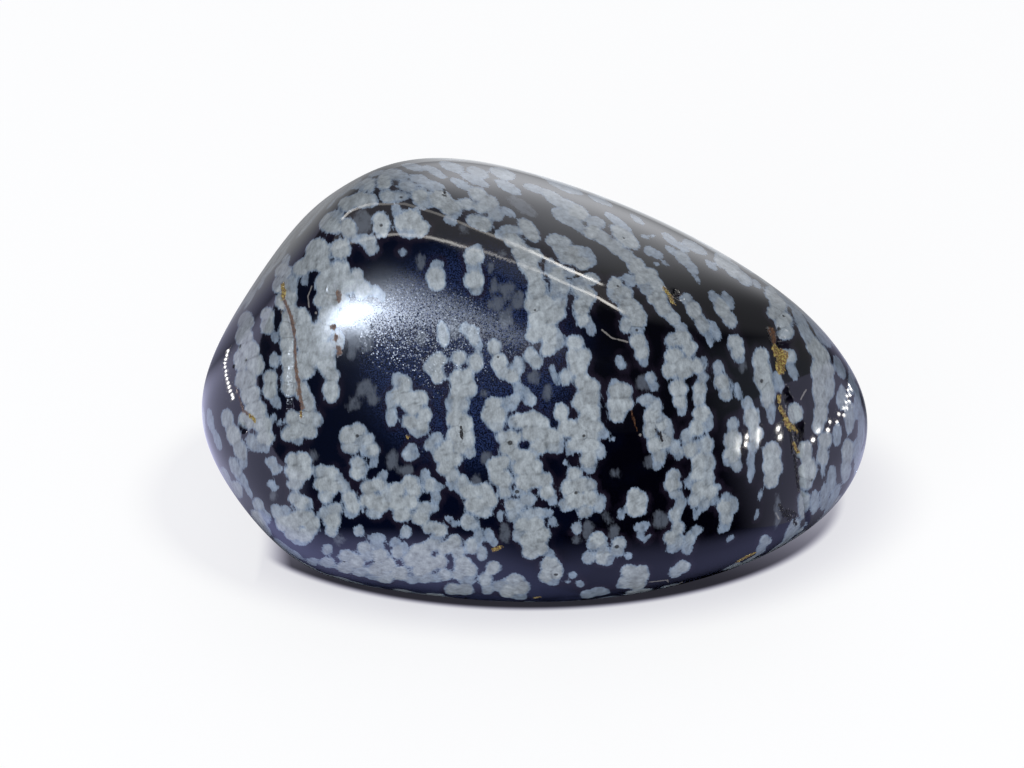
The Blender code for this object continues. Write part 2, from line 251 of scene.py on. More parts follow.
    (497, 477, 9), (505, 480, 8, 9), (505, 492, 7), (503, 437, 8, 7), (512, 438, 9, 8), (507, 448, 9, 8),
    (517, 455, 9, 8), (528, 458, 9), (520, 468, 9), (535, 468, 9, 10), (525, 482, 10), (536, 480, 8, 9),
    (520, 492, 6, 5), (525, 500, 6), (530, 500, 6, 7), (511, 505, 7), (517, 507, 6, 7), (512, 516, 6, 7),
    (545, 480, 8), (547, 492, 8), (552, 500, 5, 6), (528, 515, 8, 6), (538, 513, 8, 6), (522, 525, 9, 8),
    (535, 525, 10, 9), (518, 535, 6, 8), (530, 540, 11, 10), (543, 535, 9), (530, 552, 9, 8),
    (541, 548, 8), (548, 513, 6, 4), (554, 522, 6, 4, 60), (449, 518, 4, 3), (454, 524, 4),
    (467, 522, 7, 9), (474, 525, 6), (479, 537, 5, 8), (489, 535, 8, 5, 75), (494, 543, 4),
    (472, 546, 7, 9), (482, 554, 6, 8), (500, 516, 3, 6), (397, 490, 9), (410, 482, 8), (415, 490, 8),
    (397, 503, 10, 9), (410, 502, 9), (402, 515, 10, 8), (425, 508, 8, 7), (433, 508, 6, 5),
    (420, 518, 9, 8), (430, 528, 8, 7), (440, 530, 8), (436, 538, 6, 4), (406, 532, 6, 7),
    (395, 542, 5, 6), (398, 552, 7, 8), (403, 548, 5, 6), (420, 552, 12, 9), (432, 545, 9, 7),
    (445, 548, 8), (455, 542, 8), (458, 552, 7, 8),
    # Lower right.
    (580, 432, 11, 10), (592, 430, 10, 11), (600, 432, 5, 6), (605, 434, 4, 5), (575, 445, 9, 8),
    (590, 446, 11, 10), (600, 452, 6, 8), (588, 460, 9), (590, 469, 6, 4), (570, 450, 4, 6),
    (559, 447, 5, 7), (574, 474, 8), (568, 488, 8, 9), (580, 485, 10, 9), (590, 485, 7),
    (575, 500, 11, 10), (590, 498, 9), (600, 503, 6, 10), (565, 505, 6, 7), (585, 512, 8, 7),
    (566, 463, 3), (613, 439, 3, 2, -50), (635, 496, 9), (636, 508, 11, 10), (640, 500, 8, 9),
    (621, 514, 4, 6), (639, 527, 6, 5), (645, 526, 4, 5), (640, 534, 4), (648, 537, 5, 2, -30),
    (645, 541, 2), (662, 425, 8), (655, 445, 9), (665, 440, 8, 9), (660, 456, 7, 8), (657, 466, 5),
    (675, 448, 6, 8), (679, 455, 4, 6), (686, 436, 6, 8), (690, 450, 8, 9), (700, 445, 6),
    (707, 445, 7, 10), (700, 462, 9, 10), (709, 462, 7, 10), (698, 474, 8), (708, 478, 7, 10),
    (700, 488, 9), (710, 492, 8, 9), (695, 500, 7, 8), (705, 503, 6), (714, 500, 4, 5), (702, 509, 4, 3),
    (696, 515, 3, 5), (689, 482, 4, 6), (674, 475, 8, 7), (672, 485, 9, 8), (676, 494, 7, 6),
    (680, 505, 6, 8), (675, 515, 7, 8), (678, 528, 7, 8), (671, 538, 8), (678, 542, 6, 8),
    (672, 549, 6, 5), (690, 539, 6, 8), (687, 549, 5, 7), (697, 530, 6, 5), (727, 497, 5, 6),
    (725, 507, 9, 8), (733, 505, 6, 9), (726, 518, 7, 8), (721, 528, 4, 6), (727, 527, 3, 4),
    (730, 538, 5, 3, -45), (719, 487, 3), (577, 528, 6, 7), (598, 540, 9), (593, 545, 6),
    (603, 550, 6, 8), (603, 558, 9, 8), (609, 560, 5, 6), (588, 558, 6, 7), (619, 543, 8, 7),
    (617, 551, 7, 6), (629, 556, 4),
    # Along the bottom.
    (312, 562, 6, 5), (327, 563, 8, 6), (346, 556, 8, 7), (356, 562, 9, 8), (345, 568, 9, 7),
    (360, 572, 8, 6), (364, 548, 8, 7), (368, 556, 7, 6), (380, 556, 9, 8), (388, 565, 8),
    (377, 570, 9, 8), (385, 578, 9, 7), (373, 577, 6, 4), (400, 574, 9, 8), (412, 560, 10, 8),
    (420, 570, 9, 8), (418, 555, 9, 8), (428, 565, 10, 9), (440, 562, 8), (445, 575, 7), (425, 578, 9, 6),
    (436, 578, 8, 5), (412, 580, 7, 5), (463, 564, 9, 8), (470, 570, 8), (460, 574, 8, 7),
    (467, 580, 8, 5), (452, 590, 8, 7), (465, 590, 9, 7), (485, 580, 7, 8), (487, 590, 6), (493, 568, 8),
    (500, 586, 8, 6), (515, 580, 10, 7), (522, 588, 9, 8), (508, 592, 9, 8), (520, 597, 8, 4),
    (551, 556, 4, 6), (550, 565, 10, 9), (556, 572, 8, 9), (546, 576, 8), (553, 582, 6, 4), (573, 575, 4),
    (568, 582, 3, 2), (580, 584, 4), (588, 595, 8, 5), (600, 592, 10, 5), (611, 597, 8, 3),
    (630, 572, 10, 8), (642, 574, 8, 9), (625, 583, 8, 7), (637, 584, 10, 8), (620, 586, 4, 3),
    (683, 567, 8, 7), (675, 573, 7, 6), (766, 541, 7, 6), (761, 550, 7, 5, -60), (760, 495, 9, 2, -80),
    (757, 514, 6, 2, -80), (792, 532, 14, 6, -60),
]

# Snowflakes that lie a little under the surface, dim and blurred, in the same form.
SUNKEN_FLAKES = [
    (354, 338, 8, 9), (362, 330, 8, 7), (368, 345, 5, 8), (352, 352, 5, 7), (455, 330, 7, 9),
    (505, 318, 8, 9), (518, 300, 7, 9),
    (362, 222, 10, 14), (464, 229, 4, 6), (522, 206, 17, 6, 35), (491, 269, 3, 6), (494, 285, 4, 7),
    (420, 262, 4, 9), (502, 253, 4), (508, 290, 8), (421, 338, 5, 8), (497, 304, 8), (534, 378, 5, 8),
    (548, 392, 5, 8), (485, 393, 4), (365, 388, 9), (372, 398, 6, 8), (353, 404, 6, 7), (392, 460, 6, 10),
    (406, 470, 8, 6), (476, 481, 6), (486, 458, 6), (505, 533, 6, 10), (312, 457, 5, 6), (273, 496, 4, 5),
    (339, 540, 5, 6), (577, 540, 4), (587, 530, 6, 9), (607, 518, 3, 7), (614, 532, 5, 7), (615, 474, 4),
    (650, 462, 6), (661, 520, 7, 9), (643, 383, 7, 8), (742, 367, 3, 6), (778, 512, 3, 16),
]

# Pinholes in the polish: x, y and radius, in the picture's pixels.
PINHOLES = [
    (381, 225, 1.8), (401, 197, 1.6), (510, 443, 2.4), (517, 492, 2.2), (576, 493, 1.8), (556, 575, 2.2),
    (617, 547, 2.4), (357, 436, 1.8), (498, 357, 1.2), (637, 330, 1.6), (624, 238, 1.2), (618, 286, 1.5),
    (584, 436, 1.6), (240, 346, 2.2), (246, 360, 1.5), (234, 366, 1.8), (762, 381, 2.0), (535, 310, 1.2),
    (344, 562, 1.5), (374, 562, 1.2), (782, 328, 2.2), (784, 316, 1.8), (812, 480, 1.6),
]

# Stains, hairlines and a few painted glints of each kind: half width and path, in the picture's pixels.
STAINS = {
    "ochre": [
        (5.0, [(282, 287), (283, 296)]),
        (1.8, [(250, 415), (255, 421)]),
        (1.6, [(301, 413), (301, 416)]),
        (2.0, [(664, 288), (668, 293), (673, 303)]),
        (7.0, [(778, 350), (784, 357), (781, 367)]),
        (2.0, [(779, 397), (779, 402)]),
        (1.8, [(780, 407), (784, 415), (790, 424), (797, 431)]),
        (2.6, [(785, 419), (790, 428)]),
        (1.9, [(793, 443), (796, 449), (800, 452)]),
        (3.4, [(739, 561), (746, 557), (753, 554)]),
        (2.2, [(494, 550), (500, 547)]),
        (1.4, [(408, 437)]),
        (1.6, [(535, 598), (539, 597)]),
    ],
    "rust": [
        (2.2, [(284, 300), (287, 306), (292, 320), (294, 330), (294, 345), (295, 360), (297, 375),
                (299, 385), (299, 395), (303, 408)]),
        (3.2, [(338, 293), (339, 299)]),
        (2.6, [(333, 327)]),
        (3.2, [(336, 338)]),
        (2.8, [(338, 348), (340, 353)]),
        (1.8, [(243, 410), (249, 415)]),
        (0.9, [(236, 388), (240, 400), (244, 411)]),
        (2.2, [(671, 296)]),
        (4.5, [(772, 331), (777, 345)]),
        (0.6, [(631, 411), (634, 420), (637, 430)]),
    ],
    "dark": [
        (1.6, [(768, 329), (771, 337), (773, 345)]),
        (1.0, [(778, 332), (779, 341)]),
        (1.5, [(795, 425), (798, 431), (796, 437), (799, 443)]),
        (1.3, [(790, 428), (792, 438), (793, 452)]),
        (1.0, [(801, 430), (803, 437), (801, 444)]),
        (1.4, [(795, 455), (796, 466), (798, 480), (799, 490)]),
        (1.9, [(779, 506), (782, 510), (787, 511)]),
        (2.6, [(785, 514), (790, 518)]),
        (1.4, [(789, 511), (796, 514), (794, 520), (796, 525)]),
        (1.2, [(444, 189), (445, 197)]),
        (1.0, [(461, 427), (461, 437)]),
        (1.3, [(656, 429), (662, 440)]),
    ],
    # Pale hairlines and specks; the two in the dark pit low on the nose are painted glints.
    "pale": [
        (0.7, [(776, 513), (779, 519)]),
        (0.6, [(792, 516)]),
        (1.0, [(736, 565), (727, 572)]),
        (1.2, [(650, 582), (667, 580), (674, 586), (682, 582)]),
        (1.5, [(640, 435)]),
        (0.7, [(602, 330), (612, 338), (628, 342)]),
        (0.9, [(806, 390), (803, 395), (801, 399)]),
        (0.7, [(312, 286), (308, 296), (309, 307)]),
        (1.4, [(316, 313)]),
    ],
}
STAIN_EDGES = {
    # kind: softness of its edge and depth of its fray, in mm
    "ochre": (0.05, 0.6),
    "rust": (0.06, 0.5),
    "dark": (0.02, 0.8),
    "pale": (0.03, 0.12),
}
DARK_COLOUR = (0.008, 0.007, 0.009)
# Pale marks: partly hairlines, partly painted glints.
PALE_MARK_AND_GLINT_COLOUR = (0.45, 0.43, 0.42)
HOLE_COLOUR = (0.01, 0.01, 0.012)
CHIP_COLOUR = (0.12, 0.11, 0.11)

# Loose-looking grains: piece, the stain that they lie in, size in m and how many per square metre.
GRAIN_BEDS = [
    ("ochre_grains", "ochre", 0.00006, 3.0e7),
    ("glassy_chips", "dark", 0.00006, 1.2e7),
]
GRAIN_LEVEL = -0.02         # mm inside a stain's edge above which grains lie
GRAIN_SHAPES = ((0.35, 0.3, 0.3), (1.5, 1.1, 0.9))      # least and greatest, in grain sizes

# The part of the front face whose polish is finely scuffed, and whose glass gets a painted blue
# sheen: middle, in the picture's pixels, and the reach over which it fades out, in mm.
SCUFFED_AT = (468, 357)
SCUFF_FADE = (2.5, 9.5)
SCUFF_RISE = 1.5            # how late its tiny facets tip, coming in from its rim
GLINT_RARITY = 1.6          # how few of them are tipped far

# Soft bright patches of the room that the polish mirrors, as azimuth from the front round to the
# right, elevation, half width, half height and tilt, in degrees, and radiance.
SOFT_PATCHES = [
    ("window", -41.5, 22.3, 13.0, 0.62, 10.0, 50.0),
    ("window's frame", -37.0, 23.6, 19.0, 1.2, 11.0, 6.5),
    ("glow round it", -23.0, 26.8, 13.0, 2.4, 8.0, 3.2),
    ("far glow", -16.0, 25.0, 16.0, 7.0, 0.0, 0.4),
    ("back wall", 161.5, 25.5, 9.5, 16.5, 0.0, 3.1),
    ("back wall, to the left", 174.0, 12.0, 9.0, 12.0, 0.0, 1.2),
]

# Thin strip lamps as the ridge mirrors them: how strongly each point glows, and their pixels.
STRIPS_IN_PICTURE = [
    ([0.45, 0.4, 0.25, 0.18, 0.18, 0.2, 0.22, 0.3, 0.4, 0.7, 1.0, 1.0, 0.6],
     [(342, 219), (350, 211), (369, 204), (405, 204), (429, 211), (449, 218), (468, 226), (494, 236),
      (518, 246), (543, 257), (567, 269), (593, 280), (602, 285)]),
    ([0.15, 0.2, 0.3, 0.45, 0.6, 0.7, 0.55, 0.4, 0.35, 0.35, 0.45, 0.8, 1.0, 0.3],
     [(330, 249), (350, 243), (369, 238), (395, 234), (429, 237), (449, 242), (468, 248), (488, 253),
      (514, 262), (543, 273), (571, 286), (597, 297), (612, 306), (624, 313)]),
]
STRIP_HALF_WIDTH = 1.15     # of the picture's pixels
BETWEEN_STRIPS = 0.04       # how strongly the blind between the strips glows
STRIP_CUTS = 60             # pieces along each strip
BEAD_SIDES = 10
BEAD_BLUR = 3e-4            # steradians that the polish spreads a bead over
BEAD_CLEARANCE = 0.8        # part of the way down to the table at which a bead hangs
LEAST_FALL = 0.01           # the least downward slope that counts
LAMP_COLOUR = (1.0, 0.97, 0.92, 1.0)

# Small round lamps as the ends of the stone mirror them: radius and places, in picture pixels.
BEADS_IN_PICTURE = [
    (1.8, [(738, 442), (738, 449), (747, 437), (746, 444), (758, 433), (758, 440), (778, 429), (780, 437),
           (813, 440), (818, 431), (828, 430)]),
    (1.4, [(830, 422), (837, 422), (839, 414), (844, 415)]),
    (1.0, [(844, 408), (847, 408), (846, 402), (849, 401), (847, 396), (850, 395), (848, 390), (851, 389),
           (849, 385)]),
    (0.9, [(228, 351), (227, 355), (226, 359), (225, 363), (225, 367), (226, 371), (226, 375), (227, 379),
           (228, 383), (229, 387), (230, 391), (232, 395), (233, 398)]),
]

# The soft key lamp: azimuth, elevation, m from the heart, and m across and up.
KEY_LAMP = (-14, 26, 0.7, (0.55, 0.55))

# Where the mirrored room brightens, as parts up (Z), behind (Y) or right (X) of a unit way.
CEILING_RISE = (0.85, 0.97)
BACKDROP_RISE = (-0.1, 0.3)
SIDE_RISE = (0.74, 0.93)
LEFT_SHADE_RISE = (-0.75, -0.15)
WINDOW_TO_ROOM = (-0.3, 0.3)

# Where the room's soft light is dimmed, in the same parts.
LEFT_DIM = (-0.9, 0.1)
RIGHT_DIM = (0.2, 0.9)
TOP_DIM = (0.2, 1.0)
SEEN_ROOM = 2.0             # brightness of the room to look at

# Where the polish mirrors the floor, as parts right (X) or behind (Y) of a unit way from the
# origin, and how clear of the foot, in footprints.
NEAR_SIDE = (0.1, -0.5, 0.5, 1.0)
NEAR_FRONT = (0.05, -0.35)
NEAR_CLEAR = (1.3, 2.3)
NEAR_NARROWED = 0.55        # how much less it reaches to the sides, as a part of its reach
NEAR_FADE = 0.65            # part of its reach at which it begins to fade
LEFT_SIDE = (-0.66, -0.84)
LEFT_CLEAR = (1.3, 2.7)
RIGHT_SIDE = (0.78, 0.98)
RIGHT_CLEAR = (1.4, 2.6)
BEHIND_LEFT = (-0.2, 0.06, 0.25, 1.0)
BEHIND_RIGHT = (0.22, 0.42, 1.0, 0.3)
BEHIND = (0.5, 0.85)
WHITE_BEHIND = (0.75, 0.92)
WHITE_FLOOR = (0.8, 0.82, 0.86)
FOOT_GLOW = (0.85, 1.15)    # footprints between which the table begins to glow
WHITE = (1.0, 1.0, 1.0)
BLACK = (0.0, 0.0, 0.0)
FLOOR_SIDES = 96
FLOOR_ROUGHNESS = 0.9
SENSOR_WIDTH = 36.0         # mm
NEAREST_SEEN = 0.01         # m

# The flow that the snowflakes lie along, as mm right, up and to the eye.
FLOW = 0.3 * SHOW_RIGHT - 0.94 * SHOW_UP + 0.1 * SHOW_EYE

# Sides of the cube that the mesh starts from: the way each faces, and its right hand.
CUBE_SIDES = [
    ((1, 0, 0), (0, 1, 0)),
    ((-1, 0, 0), (0, -1, 0)),
    ((0, 1, 0), (-1, 0, 0)),
    ((0, -1, 0), (1, 0, 0)),
    ((0, 0, 1), (1, 0, 0)),
    ((0, 0, -1), (-1, 0, 0)),
]
HALF_SIZES = np.array([23.0, 15.8, 15.2])   # mm, the rough half sizes of the stone
TOWARDS_EYE = 0.3           # how far the mesh is finer on the shown face, 0 for even
FINER_WITHIN = (0.6, 0.3)   # mm from a mark within which each refinement halves the mesh
RAGGED_EDGE = 0.6           # part of an opening's width by which its edge wanders
RAGGED_FLOOR = 0.3          # part of an opening's depth by which its floor is rough
PINHOLE_DEPTH = 0.06        # mm
SEAM_MERGE = 1e-6           # cube corners nearer than this are one
UV_MARGIN = 0.012           # part of a side's square left clear round its map
FLOOR_GAP = 0.00002         # m between the foot and the floor
FOOTPRINT = (0.0130, 0.0080)    # m, half sizes round the foot where the floor is painted dark with shade, in its glow and in the polish
# The painted shadow of the stone on the floor, which darkens the floor's colour and glow where it is
# seen:
SHADOW_SHIFT = (-0.0004, 0.0090)    # m from the heart, seen from above, to the shadow's middle
SHADOW_SIZE = (0.0224, 0.0164)      # m, half sizes of the shadow
SHADOW_EDGE = (0.965, 1.012)    # where it begins and ends, as parts of its half size
SHADOW_BACK = (-0.004, 0.012, 0.035, 0.62)      # m behind the heart, and how much light is left
SHADOW_RIGHT = (0.0156, 0.0275, 0.0, 0.68)      # m right of the heart, and how much light is left
SHADOW_LEFT = (-0.0163, -0.0195, 0.0, 0.92)     # the same, towards the left
SHADOW_RIM = (1.0, 1.32, 0.84, 1.0)     # parts of its half size, and how much light is left
FAINTEST = -1.0             # mm, a field's value far from any mark
FLAKE_BLEND = 10.0          # per mm, how sharply lobes of one snowflake meet
EDGE_REACH = 0.45           # mm round a lobe within which its distance is worked out
STEEPEST = 0.3              # the least slope to the eye at which a lobe is still drawn out
HIDDEN_BELOW = 0.1          # slope to the eye under which seeded snowflakes take over
HIDDEN_TRIES = 30000        # places tried for them
FLAKE_GAPS = (0.75, 1.35)   # their least gap where they crowd and where they are sparse, in gaps
HIDDEN_SWAY = 0.2           # how far such a snowflake turns off the flow, as a slope
HIDDEN_LOBES = (3, 8)       # the least number of its lobes, and one above the greatest
HIDDEN_SPREAD = (0.75, 0.42)    # mm along and across it that they stray
HIDDEN_HALF = (0.45, 0.8)   # mm, a lobe's longer half
HIDDEN_ROUND = (0.65, 1.0)  # its shorter half, as a part of the longer
HIDDEN_THIN = (0.0, 0.5)    # how thin its crystal is
BAND_TURNS = (0.83, 0.61)   # radians per mm of two sets of bands in which snowflakes crowd
BAND_STARTS = (0.7, 2.0)    # radians
BAND_SHARES = (0.62, 0.3, 0.25)     # how much they crowd, and how far each set changes it
WAVER_TURNS = (0.31, 0.42)  # radians per mm at which the bands waver
WAVER_SIZES = (1.3, 1.1)    # radians
SECOND_WAVER = 0.6          # part of the waver that the second set has
SIGHT_SAMPLES = 161         # places tried along a line of sight
LEAST_SLANT = 0.05          # the least slope to the eye that counts
THIN_LOBES = (4.0, 8.5)     # half sizes, in the picture's pixels, from all thin to all thick
SEAM_WIDTH = 0.14           # mm over which the seam between two lobes fades out
SEAM_INSET = 0.12           # mm inside the edge at which it is at its full strength
TINY = 1e-6                 # keeps a division away from zero
RAGGED_SIZES = (0.45, 0.16)     # mm, lumps along an opening's edge and on its floor
PINHOLE_SINKS = (-0.03, 0.06)   # mm from a pinhole's edge over which it sinks
PINHOLE_SHOWS = (-0.03, 0.04)   # mm from its edge over which it darkens

# Where the glass changes, in m, except that the smoke's reach is in mm round a snowflake.
NAVY_REACH = (0.006, -0.002)
NAVY_WAVER = 0.014
# Heights, in m, over which the low edge takes its painted light.
LOW_EDGE = (0.008, 0.003)
SMOKE_REACH = (-0.5, 0.0)
SMOKE_STRENGTH = 0.75
DRIFT_SIZE = 2.6            # mm, lumps of the navy and the smoke
SPECKLE_SIZE = 0.09         # mm, specks of the scuffed part
CRUMB_SIZE = 0.14           # mm, crumbs of the stains
CRUMB_DEPTH = 0.00005       # m
CRUMB_REACH = (-0.1, 0.05)  # mm from a stain's edge over which it turns crumbly
THIN_DIMMED = 0.75          # how much less pale core a thin lobe has
TONE_CHANGE = 0.09          # how far one lobe differs from the next
LOBE_CHANGE = 0.3           # how far its small lobes do
SEAM_CHANGE = 0.34          # how dark the seams are
BROKEN_ROUGHNESS = 0.5      # what broken glass adds to the roughness
FLOW_SQUEEZE = 0.62         # the crystals' pattern is drawn out along the flow by 1 over this
QUARTZ_IOR = 1.54


def facet_direction(turn, lean):
    """Outward normal of a facet from its turn round the outline and its lean to the eye."""
    turn = math.radians(turn)
    lean = math.radians(lean)
    across = math.cos(turn) * SHOW_RIGHT + math.sin(turn) * SHOW_UP
    return math.cos(lean) * across + math.sin(lean) * SHOW_EYE


FACET_NORMALS = np.array([facet_direction(facet[1], facet[2]) for facet in FACETS])
FACET_DISTANCES = np.array([facet[3] for facet in FACETS])
FACET_EDGES = np.array([facet[4] for facet in FACETS])


def beyond_facets(points):
    """How far each point lies beyond each facet, weighed by the facet's edge."""
    return (points @ FACET_NORMALS.T - FACET_DISTANCES) * FACET_EDGES


def outside(points):
    """Above zero outside the rounded stone, below zero inside it."""
    return np.log(np.exp(beyond_facets(points)).sum(axis=-1))


def outward(points):
    """Unit normals of the rounded stone at points on its surface."""
    pull = np.exp(beyond_facets(points)) * FACET_EDGES
    slope = pull @ FACET_NORMALS
    return slope / np.linalg.norm(slope, axis=-1, keepdims=True)


def surface_along(starts, directions):
    """Points where lines that start inside the stone leave it."""
    inner = np.zeros(len(directions))
    outer = np.full(len(directions), FARTHEST)
    for _ in range(SOLVE_STEPS):
        middle = (inner + outer) / 2.0
        is_out = outside(starts + directions * middle[:, None]) > 0.0
        outer = np.where(is_out, middle, outer)
        inner = np.where(is_out, inner, middle)
    return starts + directions * inner[:, None]


def on_surface(directions):
    """Surface points in the given directions from the heart."""
    units = directions / np.linalg.norm(directions, axis=1)[:, None]
    return surface_along(np.zeros_like(units), units)


def seen_from_front(places):
    """Surface points that an eye at the front sees at the given mm right and up."""
    places = np.array(places, dtype=float)
    starts = places[:, :1] * SHOW_RIGHT + places[:, 1:] * SHOW_UP
    return surface_along(starts, np.tile(SHOW_EYE, (len(places), 1)))


def seen_in_picture(pixels):
    """Surface points that show at the given pixels of the picture."""
    pixels = np.array(pixels, dtype=float)
    offset = (pixels - PICTURE_SIZE / 2.0) / FOCAL_PX
    sight = offset[:, :1] * SHOW_RIGHT - offset[:, 1:] * SHOW_UP - SHOW_EYE
    sight /= np.linalg.norm(sight, axis=1)[:, None]
    depths = np.linspace(EYE_DISTANCE - FARTHEST, EYE_DISTANCE + FARTHEST, SIGHT_SAMPLES)
    along = EYE + sight[:, None, :] * depths[None, :, None]
    deepest = outside(along).argmin(axis=1)
    starts = along[np.arange(len(pixels)), deepest]
    grazing = outside(starts) > 0.0
    found = surface_along(starts, -sight)
    found[grazing] = on_surface(starts[grazing])
    return found


def distance_to_path(points, path):
    """Shortest distance from each point to a path of straight runs, or to its only point."""
    nearest = np.linalg.norm(points - path[0], axis=1)
    for start, end in zip(path[:-1], path[1:]):
        run = end - start
        along = np.clip((points - start) @ run / (run @ run), 0.0, 1.0)
        gap = np.linalg.norm(points - start - along[:, None] * run, axis=1)
        nearest = np.minimum(nearest, gap)
    return nearest


def smooth_step(low, high, values):
    """A smooth rise from 0 at low to 1 at high."""
    share = np.clip((values - low) / (high - low), 0.0, 1.0)
    return share * share * (3.0 - 2.0 * share)


def flow_on_surface(normals):
    """Unit directions of the flow where it runs along the surface."""
    along = FLOW - (normals @ FLOW)[:, None] * normals
    return along / np.linalg.norm(along, axis=1)[:, None]


def mark_shape(mark):
    """Half axes, in the picture's pixels, and tilt, in radians, of a round, upright or tilted mark."""
    if len(mark) == 3:
        return mark[2], mark[2], 0.0
    if len(mark) == 4:
        return mark[2], mark[3], 0.0
    return mark[2], mark[3], math.radians(mark[4])


def picture_lobes(marks):
    """Lobes from marks in the picture: centres, metrics and thinness.

    A metric is the 2 x 3 matrix that turns a step from the lobe's centre into its own round
    measure, 1 at its edge. It undoes the slant at which the eye sees the surface there.
    """
    centres = seen_in_picture([mark[:2] for mark in marks])
    normals = outward(centres)
    metrics = []
    for mark, centre, normal in zip(marks, centres, normals):
        half_long, half_short, tilt = mark_shape(mark)
        scale = FOCAL_PX / (EYE - centre).dot(SHOW_EYE)
        flat = np.eye(3) - np.outer(normal, normal)
        on_screen = scale * np.array([SHOW_RIGHT, -SHOW_UP]) @ flat
        slant = normal @ SHOW_EYE
        if slant < STEEPEST:
            downhill = np.array([normal @ SHOW_RIGHT, -normal @ SHOW_UP])
            downhill /= np.linalg.norm(downhill)
            drawn = STEEPEST / max(slant, LEAST_SLANT) - 1.0
            on_screen = (np.eye(2) + drawn * np.outer(downhill, downhill)) @ on_screen
        turn = np.array([[math.cos(tilt), math.sin(tilt)], [-math.sin(tilt), math.cos(tilt)]])
        metrics.append(np.diag([1.0 / half_long, 1.0 / half_short]) @ turn @ on_screen)
    size = np.array([min(mark_shape(mark)[:2]) for mark in marks], dtype=float)
    thin = 1.0 - smooth_step(*THIN_LOBES, size)
    return centres, np.array(metrics), thin


def hidden_lobes(points, normals, settings):
    """Lobes of seeded snowflakes on the sides that the picture doesn't show, along the flow."""
    chance = np.random.default_rng(settings.seed)
    facing = np.einsum("ij,ij->i", normals, EYE - points)
    facing /= np.linalg.norm(EYE - points, axis=1)
    order = chance.permutation(np.flatnonzero(facing < HIDDEN_BELOW))[:HIDDEN_TRIES]
    dense = flow_bands(points[order])
    gaps = (FLAKE_GAPS[1] + (FLAKE_GAPS[0] - FLAKE_GAPS[1]) * dense) * settings.hidden_gap / MM
    kept = np.empty((0, 3))
    for index, gap in zip(order, gaps):
        place = points[index]
        if len(kept) and np.linalg.norm(kept - place, axis=1).min() < gap:
            continue
        kept = np.vstack([kept, place])
    centres = []
    metrics = []
    for heart in kept:
        normal = outward(heart[None])[0]
        along = flow_on_surface(normal[None])[0]
        along += np.cross(normal, along) * chance.normal(0.0, HIDDEN_SWAY)
        along /= np.linalg.norm(along)
        across = np.cross(normal, along)
        for _ in range(chance.integers(*HIDDEN_LOBES)):
            shift = along * chance.normal(0.0, HIDDEN_SPREAD[0])
            shift = shift + across * chance.normal(0.0, HIDDEN_SPREAD[1])
            centres.append(heart + shift)
            half_long = chance.uniform(*HIDDEN_HALF)
            half_short = half_long * chance.uniform(*HIDDEN_ROUND)
            metrics.append([along / half_long, across / half_short])
    centres = on_surface(np.array(centres))
    return centres, np.array(metrics), chance.uniform(*HIDDEN_THIN, len(centres))


def flow_bands(points):
    """0 where snowflakes are sparse and 1 where they crowd, in bands along the flow."""
    across = np.cross(FLOW, SHOW_EYE)
    through = np.cross(FLOW, across)
    along_flow = WAVER_SIZES[0] * np.sin(points @ FLOW * WAVER_TURNS[0] + BAND_STARTS[0])
    waver = along_flow + WAVER_SIZES[1] * np.sin(points @ through * WAVER_TURNS[1])
    first = np.sin(points @ across * BAND_TURNS[0] + waver)
    second = np.sin(points @ through * BAND_TURNS[1] + SECOND_WAVER * waver + BAND_STARTS[1])
    crowding, first_share, second_share = BAND_SHARES
    return np.clip(crowding + first_share * first + second_share * second, 0.0, 1.0)


def point_tree(points):
    """A search tree of points."""
    tree = kdtree.KDTree(len(points))
    for index, point in enumerate(points):
        tree.insert(point, index)
    tree.balance()
    return tree


def lobe_fields(points, tree, lobes, seed):
    """Distance inside the edge of the nearest snowflake, in mm, with its seams, tone and thinness."""
    centres, metrics, thinness = lobes
    tones = np.random.default_rng(seed).uniform(-1.0, 1.0, len(centres))
    best = np.full(len(points), FAINTEST)
    second = best.copy()
    total = np.exp(FLAKE_BLEND * best)
    tone = np.zeros(len(points))
    thin = np.zeros(len(points))
    for centre, metric, own_tone, own_thin in zip(centres, metrics, tones, thinness):
        longest = 1.0 / np.linalg.svd(metric, compute_uv=False).min()
        near = [found[1] for found in tree.find_range(centre, longest + EDGE_REACH)]
        if not near:
            continue
        own = (points[near] - centre) @ metric.T
        measure = np.maximum(np.linalg.norm(own, axis=1), TINY)
        slope = np.maximum(np.linalg.norm(own @ metric, axis=1) / measure, 1.0 / longest)
        depth = np.maximum((1.0 - measure) / slope, FAINTEST)
        total[near] += np.exp(FLAKE_BLEND * depth)
        wins = depth > best[near]
        second[near] = np.where(wins, best[near], np.maximum(second[near], depth))
        tone[near] = np.where(wins, own_tone, tone[near])
        thin[near] = np.where(wins, own_thin, thin[near])
        best[near] = np.maximum(best[near], depth)
    seam = smooth_step(SEAM_WIDTH, 0.0, best - second) * smooth_step(0.0, SEAM_INSET, second)
    return np.log(total) / FLAKE_BLEND, seam, tone, thin


def stain_field(points, kind):
    """Distance inside the edge of the stains of one kind, in mm."""
    field = np.full(len(points), FAINTEST)
    for half_width, pixels in STAINS[kind]:
        inside = half_width / PX_PER_MM - distance_to_path(points, seen_in_picture(pixels))
        field = np.maximum(field, inside)
    return field


def pinhole_field(points):
    """Distance inside the edge of the pinholes, in mm."""
    field = np.full(len(points), FAINTEST)
    for centre, radius in zip(seen_in_picture([hole[:2] for hole in PINHOLES]), PINHOLES):
        field = np.maximum(field, radius[2] / PX_PER_MM - np.linalg.norm(points - centre, axis=1))
    return field


